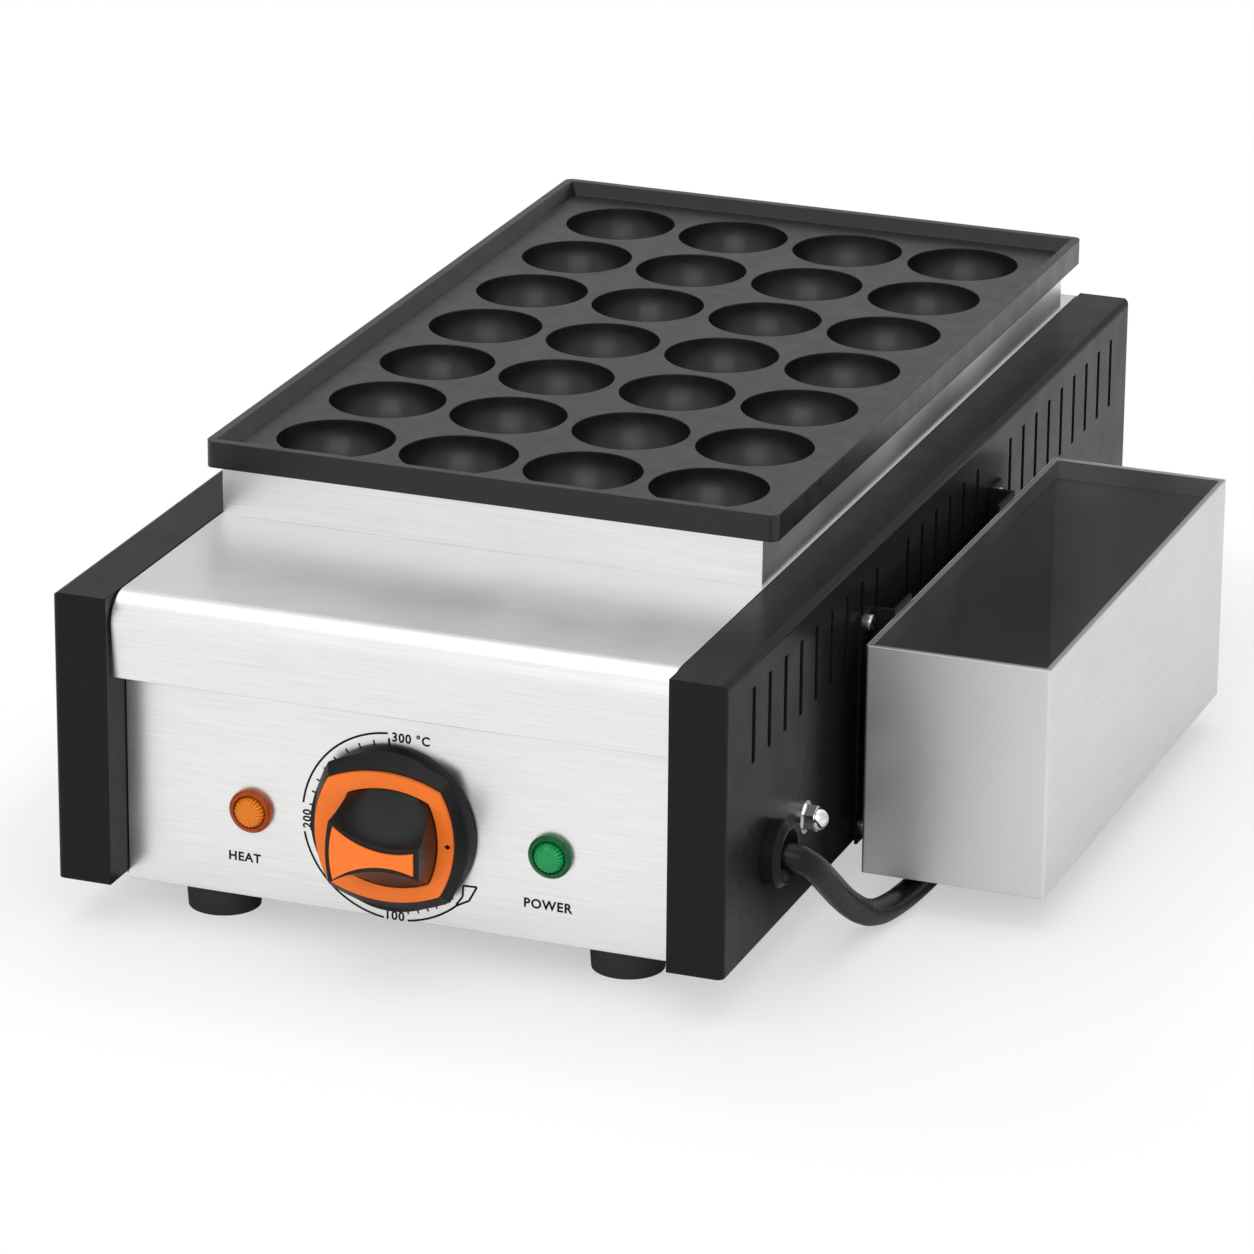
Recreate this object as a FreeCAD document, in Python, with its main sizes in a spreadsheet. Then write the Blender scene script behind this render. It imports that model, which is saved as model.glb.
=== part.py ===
import FreeCAD, Part

import math
import os
import re

import Sketcher
from FreeCAD import Placement, Rotation, Vector

# A takoyaki maker: a cast plate of round wells on a sheet steel cabinet, with a thermostat knob,
# two lamps, an open bin on the right wall and a mains cord. Millimetres.
# Formulas are written in the cabinet's own frame: X to the right with 0 at the cabinet's middle,
# Y to the back with 0 at the side panels' front faces, Z up with 0 at the floor.
# Every piece is then moved by centre_x and centre_y, so that the origin is at the middle of the
# whole object's footprint.

SIZES = [
    ("well_radius", 20.0, "round well"),
    ("well_wall", 3.0, "thickness of a well"),
    ("well_land_x", 4.1, "flat between two wells across"),
    ("well_land_y", 4.4, "flat between two wells from front to back"),
    ("wells_across", 4, "wells in a row"),
    ("wells_along", 7, "rows of wells"),
    ("well_step_x", "=2 * well_radius + well_land_x", "well to well across"),
    ("well_step_y", "=2 * well_radius + well_land_y", "well to well from front to back"),
    ("skin", 1.0, "sheet of the panels, the deck and the riser"),
    ("riser_room_x", 4.85, "from the outer wells' bellies to the riser's side walls"),
    ("riser_room_y", 4.25, "from the outer wells' bellies to the riser's front and rear walls"),
    ("riser_width", "=well_step_x * (wells_across - 1) + 2 * (well_radius + well_wall + riser_room_x + skin)",
     "outside of the riser"),
    ("riser_length", "=well_step_y * (wells_along - 1) + 2 * (well_radius + well_wall + riser_room_y + skin)",
     "outside of the riser"),
    ("riser_front", 89.7, "front face of the riser, behind the side panels' front faces"),
    ("riser_back", "=riser_front + riser_length", "rear face of the riser"),
    ("riser_height", 16.6, "riser above the deck"),
    ("riser_flange", 5.0, "riser's inner top flange"),
    ("riser_corner", 14.0, "corner gusset of the riser's top flange"),
    ("wells_centre", "=riser_front + riser_length / 2", "middle of the wells from front to back"),
    ("flange", 19.0, "width of the side panels' front and top flanges"),
    ("deck_gap", 0.6, "between the deck and a side panel's flange"),
    ("deck_land", 0.8, "deck beside the riser"),
    ("deck_behind", 20.4, "from the riser to the side panels' rear faces"),
    ("body_width", "=riser_width + 2 * (deck_land + deck_gap + flange)", "over both side panels"),
    ("body_depth", "=riser_back + deck_behind", "side panels, front to back"),
    ("wall_low", 15.0, "lower edge of the side panels"),
    ("wall_height", 99.0, "side panels"),
    ("wall_top", "=wall_low + wall_height", "top of the side panels and of the deck"),
    ("rear_flange", 12.0, "width of the side panels' rear flanges"),
    ("panel_return", 16.0, "how far the front flange's return runs back"),
    ("ledge", 4.0, "width of the ledge that carries the deck"),
    ("bottom_flange", 24.0, "width of the side panels' bottom flanges"),
    ("bend", 2.5, "outer radius of the bends in the side panels"),
    ("sheet_gap", 0.3, "clearance between sheets that are pushed together"),
    ("cut_over", 3.0, "how far a cut starts outside the sheet that it goes through"),
    ("recess", 14.0, "front panel's face behind the side panels' front faces"),
    ("panel_foot", 6.0, "front and rear panels' bottom flanges"),
    ("rear_recess", 10.0, "rear panel's face in front of the side panels' rear faces"),
    ("base_sheet", 1.5, "base plate"),
    ("slot_width", 3.0, "vent slot"),
    ("slot_height", 25.5, "vent slot"),
    ("slot_drop", 9.0, "upper end of the vent slots below the wall's top"),
    ("slot_low", "=wall_top - slot_drop - slot_height", "lower end of the vent slots"),
    ("slot_step", 15.0, "from slot to slot"),
    ("end_slots", 9, "slots in the front and in the rear group"),
    ("middle_slots", 6, "slots in the middle group"),
    ("front_slots_start", 26.0, "first slot of the front group"),
    ("middle_slots_ahead", 38.5, "first slot of the middle group in front of the wall's middle"),
    ("rear_slots_behind", 23.0, "last slot of the rear group from the wall's rear edge"),
    ("middle_slots_start", "=body_depth / 2 - middle_slots_ahead", "first slot of the middle group"),
    ("rear_slots_start", "=body_depth - rear_slots_behind - (end_slots - 1) * slot_step",
     "first slot of the rear group"),
    ("lip_face", 1.7, "face of the deck's front lip"),
    ("lip_drop", 28.0, "deck's front lip"),
    ("lip_low", "=wall_top - lip_drop", "lower edge of the lip"),
    ("lip_inset", 2.2, "how far the lip's lower edge leans in"),
    ("lip_bend", 10.0, "outer radius of the deck's front bend"),
    ("deck_back_drop", 18.0, "deck's rear flange"),
    ("deck_back_low", "=wall_top - deck_back_drop", "lower edge of the deck's rear flange"),
    ("opening_margin", 3.0, "deck opening inside the riser's outside"),
    ("plate_overhang", 5.45, "plate beyond the riser's sides"),
    ("plate_front_overhang", 2.2, "plate in front of the riser"),
    ("plate_back_overhang", 6.0, "plate behind the riser"),
    ("plate_width", "=riser_width + 2 * plate_overhang", "cooking plate"),
    ("plate_front", "=riser_front - plate_front_overhang", "front face of the cooking plate"),
    ("plate_back", "=riser_back + plate_back_overhang", "rear face of the cooking plate"),
    ("plate_low", "=wall_top + riser_height", "underside of the plate's rim"),
    ("rim_height", 9.1, "side of the plate's rim"),
    ("rim_depth", 4.35, "plate's flat face below the rim"),
    ("plate_top", "=plate_low + rim_height", "top of the plate's rim"),
    ("plate_surface", "=plate_top - rim_depth", "flat face between the wells"),
    ("plate_corner", 3.0, "radius of the plate's corners"),
    ("rim_top", 3.0, "width of the rim's top"),
    ("rim_slope", 30.0, "slope of the rim's inner wall from upright, degrees"),
    ("stud_radius", 2.5, "plate studs"),
    ("stud_length", 10.0, "plate studs below the rim"),
    ("stud_inset_x", 8.5, "stud from the riser's side face"),
    ("stud_inset_y", 8.5, "stud from the riser's front or rear face"),
    ("nut_flats", 8.0, "plate nuts across the flats"),
    ("nut_height", 4.0, "plate nuts"),
    ("running_fit", 0.06, "radial clearance of a shaft in its hole"),
    ("hole_gap", 0.5, "radial clearance of a bolt in its hole"),
    ("shield_depth", 17.0, "underside of the heat shield below the deck's top"),
    ("shield_low", "=wall_top - shield_depth", "underside of the heat shield"),
    ("shield_sheet", 0.8, "heat shield"),
    ("shield_lip", 8.0, "heat shield's front and rear lips under the deck"),
    ("element_radius", 3.0, "tubular heating element"),
    ("element_drop", 18.35, "element's axis below the plate's face"),
    ("element_height", "=plate_surface - element_drop", "element's axis"),
    ("element_offset", 0.55, "element's axis from the middle between two columns of wells"),
    ("element_bow", "=well_step_x / 2 - element_offset", "radius of the element's turn round a column of wells"),
    ("element_behind", 9.3, "element's legs behind the riser's front"),
    ("element_front", "=riser_front + element_behind", "element's legs"),
    ("element_leg", 13.0, "element's legs below the heat shield"),
    ("element_low", "=shield_low - element_leg", "lower end of the element's legs"),
    ("element_bend", 12.0, "bend of the element's legs"),
    ("ferrule_radius", 3.6, "element's mounting collar"),
    ("ferrule_height", 4.0, "element's mounting collar"),
    ("pin_stub", 8.0, "element's terminal pins"),
    ("pin_root", 1.0, "element's terminal pins inside the tube"),
    ("pin_stub_radius", 1.2, "element's terminal pins"),
    ("knob_x", -2.05, "knob's axis"),
    ("knob_z", 44.3, "knob's axis"),
    ("knob_skirt", 57.0, "knob's base across at the panel"),
    ("knob_step", 3.2, "round part of the knob's base"),
    ("knob_square", 53.0, "square part of the knob's base at its foot"),
    ("knob_shoulder", 1.0, "round part beyond the square part, at the step"),
    ("knob_face", 48.8, "knob's base across at the ring"),
    ("knob_face_height", 45.0, "knob's base from top to bottom at the ring"),
    ("corner_share", 0.76, "square's corner, as a share of its half width"),
    ("corner_shift", 1.0, "square's corner further out"),
    ("knob_gap", 1.2, "between the panel and the knob"),
    ("knob_depth", 6.8, "knob's base"),
    ("ring_margin", 0.5, "knob's base round the ring"),
    ("ring_inner", 34.2, "opening of the knob's ring"),
    ("ring_inner_height", 33.8, "opening of the knob's ring"),
    ("ring_shift", 1.7, "opening of the knob's ring to the right of the axis"),
    ("ring_thickness", 1.5, "knob's ring"),
    ("grip_left", 11.5, "grip's left end from the axis"),
    ("grip_right", 19.5, "grip's right end from the axis"),
    ("grip_left_height", 21.4, "grip's left end"),
    ("grip_waist", 8.2, "grip at its narrowest"),
    ("grip_waist_x", 8.0, "grip's narrowest place from the axis"),
    ("grip_right_height", 11.0, "grip's right end"),
    ("grip_bow", 1.2, "bulge of the grip's left end"),
    ("grip_foot", 9.5, "how much wider all round the grip is at its foot"),
    ("grip_reach", 17.7, "grip in front of the ring's face"),
    ("inset_margin", 1.7, "grip's face round the inset"),
    ("inset_thickness", 0.8, "inset on the grip"),
    ("shaft_radius", 3.0, "thermostat's shaft"),
    ("shaft_flat", 1.8, "flat on the shaft from its axis"),
    ("shaft_grip", 5.5, "shaft's length inside the knob"),
    ("shaft_in", 11.0, "shaft behind the front panel"),
    ("thermostat_radius", 17.0, "thermostat's round body"),
    ("thermostat_depth", 27.0, "thermostat's round body"),
    ("thermostat_bar", 1.5, "thermostat's mounting bar, thickness"),
    ("bar_over", 3.0, "mounting bar beyond the round body"),
    ("bar_height", 14.0, "mounting bar"),
    ("mount_spacing", 28.0, "thermostat's two screws"),
    ("mount_screw", 6.0, "thermostat's screws, length"),
    ("capillary_radius", 1.0, "capillary tube"),
    ("capillary_run", 24.0, "capillary straight back from the thermostat"),
    ("capillary_step", 12.0, "capillary's rise on its way to the heat shield"),
    ("capillary_bend", 12.0, "capillary's bends"),
    ("capillary_behind", 14.3, "where the capillary goes up, behind the riser's front"),
    ("capillary_rise", "=riser_front + capillary_behind", "where the capillary goes up through the heat shield"),
    ("bulb_radius", 3.0, "sensing bulb"),
    ("bulb_length", 80.0, "sensing bulb"),
    ("bulb_behind", 100.3, "front end of the sensing bulb behind the riser's front"),
    ("bulb_front", "=riser_front + bulb_behind", "front end of the sensing bulb"),
    ("clip_length", 8.0, "sensing bulb's clips, along the bulb"),
    ("clip_wall", 1.0, "sensing bulb's clips round the bulb"),
    ("clip_sheet", 1.2, "sensing bulb's clips' posts and the lamps' clips"),
    ("lamp_spacing", 52.0, "lamp from the middle of the cabinet"),
    ("lamp_z", 42.8, "lamps' axes"),
    ("lens_radius", 5.6, "lamp's lens"),
    ("lens_seat", 0.4, "back of the lens in front of the panel"),
    ("lens_side", 2.6, "lens's straight side"),
    ("lens_bevel", 1.0, "lens's sloped edge"),
    ("lens_shoulder", 4.2, "edge of the lens's crown"),
    ("lens_height", 4.7, "crown of the lens"),
    ("barrel_wall", 0.3, "lamp's barrel beyond the lens"),
    ("barrel_radius", "=lens_radius + barrel_wall", "lamp's barrel"),
    ("barrel_length", 22.0, "lamp's barrel behind the panel"),
    ("bezel_flange", 1.5, "bezel beyond the barrel"),
    ("bezel_radius", "=barrel_radius + bezel_flange", "lamp's bezel"),
    ("bezel_side", 1.6, "bezel's straight side"),
    ("bezel_bevel", 0.8, "bezel's sloped edge"),
    ("bezel_height", 2.4, "face of the bezel"),
    ("lamp_clip_width", 3.0, "lamp's clip beyond the barrel"),
    ("foot_radius", 12.0, "foot at the floor"),
    ("foot_top_radius", 13.0, "foot at the base"),
    ("foot_inset_x", 44.4, "feet from the side panels' faces"),
    ("foot_x", "=body_width / 2 - foot_inset_x", "feet from the middle"),
    ("foot_inset", 34.0, "feet from the front or rear face"),
    ("hollow_depth", 4.0, "hollow for the screw's head under a foot"),
    ("hollow_radius", 4.6, "that hollow"),
    ("foot_bolt", 2.0, "radius of the feet's screws"),
    ("foot_nut_flats", 7.0, "feet's nuts across the flats"),
    ("foot_nut_height", 3.2, "feet's nuts"),
    ("bolt_over", 1.0, "feet's screws beyond their nuts"),
    ("base_screw_inset", 12.4, "base screws from the side panels' faces"),
    ("base_screw_x", "=body_width / 2 - base_screw_inset", "base screws from the middle"),
    ("base_screw_end", 65.0, "first and last base screws from the front and rear faces"),
    ("base_screw_length", 6.0, "base screws"),
    ("bin_gap", 8.9, "between the right wall and the bin"),
    ("bin_width", 63.0, "bin"),
    ("bin_front", 108.8, "front face of the bin"),
    ("bin_length", 204.5, "bin"),
    ("bin_low", 12.0, "underside of the bin"),
    ("bin_height", 79.5, "bin"),
    ("bin_top", "=bin_low + bin_height", "rim of the bin"),
    ("bin_sheet", 1.0, "bin"),
    ("bin_hem", 2.0, "folded rim of the bin"),
    ("bin_hem_height", 7.0, "folded rim of the bin"),
    ("bracket_foot", 1.5, "lower end of the brackets above the bin's underside"),
    ("bracket_rise", 2.2, "upper end of the brackets above the bin's rim"),
    ("bracket_low", "=bin_low + bracket_foot", "lower end of the brackets"),
    ("bracket_top", "=bin_top + bracket_rise", "upper end of the brackets"),
    ("bracket_sheet", 1.0, "brackets"),
    ("bracket_wall_flange", 11.0, "bracket's flange on the wall"),
    ("bracket_bin_flange", 16.0, "bracket's flange on the bin"),
    ("front_web_in", 30.8, "front bracket's web from the bin's front"),
    ("rear_web_in", 46.3, "rear bracket's web from the bin's rear"),
    ("front_web", "=bin_front + front_web_in", "rear face of the front bracket's web"),
    ("rear_web", "=bin_front + bin_length - rear_web_in", "front face of the rear bracket's web"),
    ("bracket_screw_in", 4.2, "bracket's screws from its web"),
    ("bracket_screw_drop", 4.0, "bracket's screw from the bracket's upper or lower end"),
    ("bracket_screw_length", 8.0, "brackets' screws"),
    ("front_screw_y", "=front_web - bracket_sheet - bracket_screw_in", "front bracket's screws"),
    ("rear_screw_y", "=rear_web + bracket_sheet + bracket_screw_in", "rear bracket's screws"),
    ("upper_screw_z", "=bracket_top - bracket_screw_drop", "brackets' upper screws"),
    ("lower_screw_z", "=bracket_low + bracket_screw_drop", "brackets' lower screws"),
    ("screw_radius", 1.5, "brackets', thermostat's and base's screws"),
    ("screw_head", 2.9, "radius of those screws' heads"),
    ("screw_head_height", 1.9, "those screws' heads"),
    ("bush_y", 43.8, "cable bush"),
    ("bush_z", 42.4, "cable bush"),
    ("bush_radius", 11.0, "cable bush outside the wall"),
    ("bush_reach", 6.5, "cable bush outside the wall"),
    ("bush_rim", 2.0, "cable bush's sloped rim, along its axis"),
    ("bush_bevel", 1.5, "cable bush's sloped rim, across"),
    ("bush_neck", 8.5, "cable bush in the wall"),
    ("bush_behind", 8.0, "cable bush behind the wall's face"),
    ("bush_mouth", 8.4, "radius of the flared mouth that the cord leaves by"),
    ("bush_seat", 0.4, "where the cord starts inside the bush, behind the wall's face"),
    ("bush_nut_over", 1.0, "bush's locknut beyond the bush"),
    ("bush_nut_height", 4.0, "bush's locknut"),
    ("earth_y", 76.0, "earth stud"),
    ("earth_z", 42.5, "earth stud"),
    ("earth_radius", 2.0, "earth stud"),
    ("earth_out", 4.5, "earth stud outside the wall"),
    ("earth_in", 14.0, "earth stud behind the wall's face"),
    ("washer_radius", 5.5, "earth stud's washer"),
    ("washer_sheet", 0.8, "earth stud's washer"),
    ("acorn_flats", 8.0, "acorn nut across the flats"),
    ("acorn_height", 3.8, "acorn nut's hexagon, and the radius of its dome"),
    ("earth_nut_flats", 7.0, "earth stud's inner nut across the flats"),
    ("earth_nut_height", 3.2, "earth stud's inner nut"),
    ("block_length", 44.0, "terminal block"),
    ("block_width", 20.0, "terminal block"),
    ("block_height", 16.0, "terminal block"),
    ("block_floor", 6.0, "terminal block under its chambers"),
    ("chamber_spacing", 13.0, "terminal block's chambers"),
    ("chamber_length", 10.0, "a chamber along the block"),
    ("chamber_width", 12.0, "a chamber across the block"),
    ("cord_radius", 4.5, "mains cord"),
    ("coil_inset", 85.4, "middle of the cord's coil inside the right wall's face"),
    ("coil_behind", 72.0, "middle of the cord's coil behind the side panels"),
    ("coil_radius", 50.0, "middle of the coil's turns"),
    ("coil_low", 1.2, "underside of the coil"),
    ("tie_width", 8.0, "tie round the coil"),
    ("tie_gap", 0.3, "between the coil and its tie"),
    ("tie_wall", 0.7, "tie round the coil"),
    ("plug_radius", 18.0, "plug's body"),
    ("plug_length", 40.0, "plug's body"),
    ("plug_neck", 1.2, "plug's strain relief round the cord, at its end"),
    ("plug_flare", 2.2, "plug's strain relief round the cord, at the body"),
    ("pin_radius", 2.4, "plug's pins"),
    ("pin_length", 19.0, "plug's pins"),
    ("pin_spacing", 19.0, "plug's pins"),
]

doc = FreeCAD.newDocument("TakoyakiMaker")
sheet = doc.addObject("Spreadsheet::Sheet", "Sizes")
for row, (alias, amount, note) in enumerate(SIZES, start=1):
    sheet.set("A%d" % row, alias)
    sheet.set("B%d" % row, str(amount))
    sheet.set("C%d" % row, note)
    sheet.setAlias("B%d" % row, alias)
doc.recompute()


def size(alias):
    """The number in the sheet's cell of this name."""
    return float(sheet.get(alias))


ALIASES = {alias for alias, amount, note in SIZES}


def bound(formula):
    """The formula with each size's name turned into a reference to its cell."""
    def cell(match):
        name = match.group(0)
        return "Sizes." + name if name in ALIASES else name

    return re.sub(r"[a-z_]+[a-z0-9_]*", cell, str(formula))


CENTRE_X = "((bin_gap + bin_width) / 2)"
CENTRE_Y = "((body_depth + recess - knob_gap - knob_depth - ring_thickness - grip_reach - inset_thickness) / 2)"
centre_x = (size("bin_gap") + size("bin_width")) / 2
knob_front = (size("recess") - size("knob_gap") - size("knob_depth") - size("ring_thickness")
              - size("grip_reach") - size("inset_thickness"))
centre_y = (size("body_depth") + knob_front) / 2
half = size("body_width") / 2
skin = size("skin")

# Turns for pieces drawn about their own Z axis.
UPRIGHT = Rotation()
FORWARD = Rotation(Vector(1, 0, 0), 90)
RIGHTWARD = Rotation(Vector(0, 1, 0), 90)


def place(piece, x="0", y="0", z="0", turn=UPRIGHT):
    """Put a piece at a point given by formulas in the cabinet's frame."""
    piece.Placement = Placement(Vector(), turn)
    piece.setExpression("Placement.Base.x", bound("%s - %s" % (x, CENTRE_X)))
    piece.setExpression("Placement.Base.y", bound("%s - %s" % (y, CENTRE_Y)))
    piece.setExpression("Placement.Base.z", bound(z))
    return piece


def new_body(label):
    body = doc.addObject("PartDesign::Body", label)
    body.Label = label
    return place(body)


def sketch_on(body, plane, offset):
    """An empty sketch on one of the body's own planes, moved along the plane's normal."""
    sketch = body.newObject("Sketcher::SketchObject", body.Label + "_sketch")
    role = plane + "_Plane"
    base = [feature for feature in body.Origin.OriginFeatures if feature.Role == role][0]
    sketch.AttachmentSupport = [(base, "")]
    sketch.MapMode = "FlatFace"
    sketch.setExpression("AttachmentOffset.Base.z", bound(offset))
    return sketch


def pin(sketch, edge, point, corner):
    """Hold one point of a sketch's edge at a corner given by two formulas."""
    for axis, formula in zip("XY", corner):
        number = sketch.addConstraint(Sketcher.Constraint("Distance" + axis, -1, 1, edge, point, 1.0))
        sketch.setExpression("Constraints[%d]" % number, bound(formula))


def outline(sketch, corners):
    """A closed outline of straight edges."""
    count = len(corners)
    first = sketch.GeometryCount
    start = [Vector(10 * math.cos(2 * math.pi * i / count), 10 * math.sin(2 * math.pi * i / count), 0)
             for i in range(count)]
    for i in range(count):
        sketch.addGeometry(Part.LineSegment(start[i], start[(i + 1) % count]))
    for i in range(count):
        following = first + (i + 1) % count
        sketch.addConstraint(Sketcher.Constraint("Coincident", first + i, 2, following, 1))
        pin(sketch, first + i, 1, corners[i])


def circle(sketch, centre, radius):
    """A circle with its centre and radius given by formulas."""
    edge = sketch.addGeometry(Part.Circle(Vector(1, 1, 0), Vector(0, 0, 1), 2.0))
    pin(sketch, edge, 3, centre)
    number = sketch.addConstraint(Sketcher.Constraint("Radius", edge, 2.0))
    sketch.setExpression("Constraints[%d]" % number, bound(radius))


def pad(body, plane, shapes, low, high):
    """Add material between two heights along the plane's axis."""
    across = plane == "XZ"
    sketch = sketch_on(body, plane, "-(%s)" % high if across else low)
    for shape in shapes:
        draw(sketch, shape)
    feature = body.newObject("PartDesign::Pad", body.Label + "_pad")
    feature.Profile = sketch
    feature.setExpression("Length", bound("(%s) - (%s)" % (high, low)))
    doc.recompute()
    return feature


def cut(body, plane, shapes, low, high, taper=None):
    """Take material away between two heights along the plane's axis."""
    across = plane == "XZ"
    sketch = sketch_on(body, plane, "-(%s)" % low if across else high)
    for shape in shapes:
        draw(sketch, shape)
    feature = body.newObject("PartDesign::Pocket", body.Label + "_cut")
    feature.Profile = sketch
    feature.setExpression("Length", bound("(%s) - (%s)" % (high, low)))
    if taper:
        feature.setExpression("TaperAngle", bound(taper))
    before = feature.BaseFeature.Shape.Volume
    doc.recompute()
    if feature.Shape.Volume > before - 0.01:
        raise RuntimeError("a cut in %s takes nothing away" % body.Label)
    return feature


def draw(sketch, shape):
    """A shape is a list of corners, or a centre and a radius."""
    if isinstance(shape, dict):
        circle(sketch, shape["centre"], shape["radius"])
    else:
        outline(sketch, shape)


def block(x_low, x_high, y_low, y_high):
    """The four corners of a rectangle."""
    return [(x_low, y_low), (x_high, y_low), (x_high, y_high), (x_low, y_high)]


def disc(x, y, radius):
    return {"centre": (x, y), "radius": radius}


def revolve(body, corners):
    """Turn an outline of radius and height about the body's Z axis."""
    sketch = sketch_on(body, "XZ", "0")
    outline(sketch, corners)
    feature = body.newObject("PartDesign::Revolution", body.Label + "_turned")
    feature.Profile = sketch
    feature.ReferenceAxis = (sketch, ["V_Axis"])
    feature.Angle = 360
    doc.recompute()
    return feature


def repeat(body, feature, sketch_axis, pitch, count):
    """Copies of a feature along its own sketch's axis."""
    pattern = body.newObject("PartDesign::LinearPattern", body.Label + "_row")
    pattern.Originals = [feature]
    pattern.Direction = (feature.Profile[0], [sketch_axis])
    pattern.setExpression("Length", bound("(%s) * (%s - 1)" % (pitch, count)))
    pattern.setExpression("Occurrences", bound(count))
    body.Tip = pattern
    doc.recompute()
    return pattern


def soften(body, radius, chosen):
    """Round the edges of the body's last feature that the test picks out."""
    tip = body.Tip
    names = ["Edge%d" % (i + 1) for i, edge in enumerate(tip.Shape.Edges) if chosen(edge)]
    if not names:
        raise RuntimeError("no edge of %s to round" % body.Label)
    feature = body.newObject("PartDesign::Fillet", body.Label + "_round")
    feature.Base = (tip, names)
    feature.setExpression("Radius", bound(radius))
    doc.recompute()
    return feature


def runs_along(edge, axis):
    """True if a straight edge is parallel to the axis."""
    if not isinstance(edge.Curve, Part.Line):
        return False
    return abs(edge.Curve.Direction.dot(axis)) > 0.999


def near(number, target):
    return abs(number - target) < 0.01


X_AXIS, Y_AXIS, Z_AXIS = Vector(1, 0, 0), Vector(0, 1, 0), Vector(0, 0, 1)
HALF = "(body_width / 2)"
INNER = "(body_width / 2 - flange)"


def shaped(label, shape):
    """A piece whose shape is worked out here, in the cabinet's frame."""
    piece = doc.addObject("Part::Feature", label)
    piece.Label = label
    piece.Shape = Part.makeCompound([shape])
    piece.Placement = Placement(Vector(-centre_x, -centre_y, 0), UPRIGHT)
    return piece


def rod(start, direction, radius, length):
    return Part.makeCylinder(radius, length, Vector(*start), Vector(*direction))


def mirrored(corners, side):
    """The corners as they are on the right, or with x turned round on the left."""
    if side > 0:
        return corners
    return [("-(%s)" % x, y) for x, y in corners]


# Side panels: one bent sheet each, with a front flange and its return, top, bottom and rear flanges.
def side_panel(label, side):
    body = new_body(label)
    inner_wall = "%s - skin" % HALF
    inner_edge = "%s + skin" % INNER
    rear_edge = "%s - rear_flange" % HALF
    wall = [(HALF, "0"), (HALF, "body_depth"), (rear_edge, "body_depth"), (rear_edge, "body_depth - skin"),
            (inner_wall, "body_depth - skin"), (inner_wall, "skin"), (inner_edge, "skin"),
            (inner_edge, "panel_return"), (INNER, "panel_return"), (INNER, "0")]
    pad(body, "XY", [mirrored(wall, side)], "wall_low", "wall_top")
    top = [(HALF, "wall_top"), (INNER, "wall_top"), (INNER, "wall_top - 2 * skin"),
           (inner_edge, "wall_top - 2 * skin"), (inner_edge, "wall_top - skin"), (HALF, "wall_top - skin")]
    pad(body, "XZ", [mirrored(top, side)], "0", "body_depth")
    ledge = block("%s - ledge" % INNER, inner_edge, "wall_top - 2 * skin", "wall_top - skin")
    pad(body, "XZ", [mirrored(ledge, side)], "panel_return", "body_depth - panel_return")
    bottom = block("%s - bottom_flange" % HALF, HALF, "wall_low", "wall_low + skin")
    pad(body, "XZ", [mirrored(bottom, side)], "panel_return", "body_depth - skin")

    def outer_bend(edge):
        middle = edge.CenterOfMass
        at_side = near(middle.x, side * half)
        long_top = runs_along(edge, Y_AXIS) and near(middle.z, size("wall_top")) and at_side
        upright = runs_along(edge, Z_AXIS) and at_side and (
            near(middle.y, 0) or near(middle.y, size("body_depth")))
        return long_top or upright

    soften(body, "bend", outer_bend)
    for start, count in (("front_slots_start", "end_slots"), ("middle_slots_start", "middle_slots"),
                         ("rear_slots_start", "end_slots")):
        slot = block("%s - slot_width / 2" % start, "%s + slot_width / 2" % start, "slot_low",
                     "slot_low + slot_height")
        wall_face = HALF if side > 0 else "-" + HALF
        first = cut(body, "YZ", [slot], "%s - cut_over" % wall_face, "%s + cut_over" % wall_face)
        repeat(body, first, "H_Axis", "slot_step", count)
    sign = "" if side > 0 else "-"
    holes = [disc(sign + "base_screw_x", y, "screw_radius + running_fit") for y in BASE_SCREW_YS]
    cut(body, "XY", holes, "wall_low - cut_over", "wall_low + cut_over")
    return body


def wall_holes(body):
    """The right wall's holes for the cable bush, the earth stud and the brackets' screws."""
    holes = [disc("bush_y", "bush_z", "bush_neck + running_fit"),
             disc("earth_y", "earth_z", "earth_radius + running_fit")]
    for y in BRACKET_SCREW_YS:
        for z in BRACKET_SCREW_ZS:
            holes.append(disc(y, z, "screw_radius + running_fit"))
    cut(body, "YZ", holes, "%s - cut_over" % HALF, "%s + cut_over" % HALF)


BASE_SCREW_YS = ["base_screw_end", "body_depth / 2", "body_depth - base_screw_end"]
FOOT_POINTS = [("-foot_x", "foot_inset"), ("foot_x", "foot_inset"), ("-foot_x", "body_depth - foot_inset"),
               ("foot_x", "body_depth - foot_inset")]
BRACKET_SCREW_YS = ["front_screw_y", "rear_screw_y"]
BRACKET_SCREW_ZS = ["upper_screw_z", "lower_screw_z"]


def front_panel():
    """Bent sheet with a bottom flange, holes for the knob's shaft, the thermostat's screws and the lamps."""
    body = new_body("front_panel")
    low = "wall_low - base_sheet - skin"
    profile = [("recess", low), ("recess + panel_foot", low), ("recess + panel_foot", "%s + skin" % low),
               ("recess + skin", "%s + skin" % low), ("recess + skin", "wall_top - skin - sheet_gap"),
               ("recess", "wall_top - skin - sheet_gap")]
    pad(body, "YZ", [profile], "-(%s - sheet_gap)" % INNER, "%s - sheet_gap" % INNER)
    holes = [disc("knob_x", "knob_z", "shaft_radius + 4 * hole_gap"),
             disc("knob_x - mount_spacing / 2", "knob_z", "screw_radius + hole_gap"),
             disc("knob_x + mount_spacing / 2", "knob_z", "screw_radius + hole_gap"),
             disc("-lamp_spacing", "lamp_z", "barrel_radius + running_fit"),
             disc("lamp_spacing", "lamp_z", "barrel_radius + running_fit")]
    cut(body, "XZ", holes, "recess - cut_over", "recess + cut_over")


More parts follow.
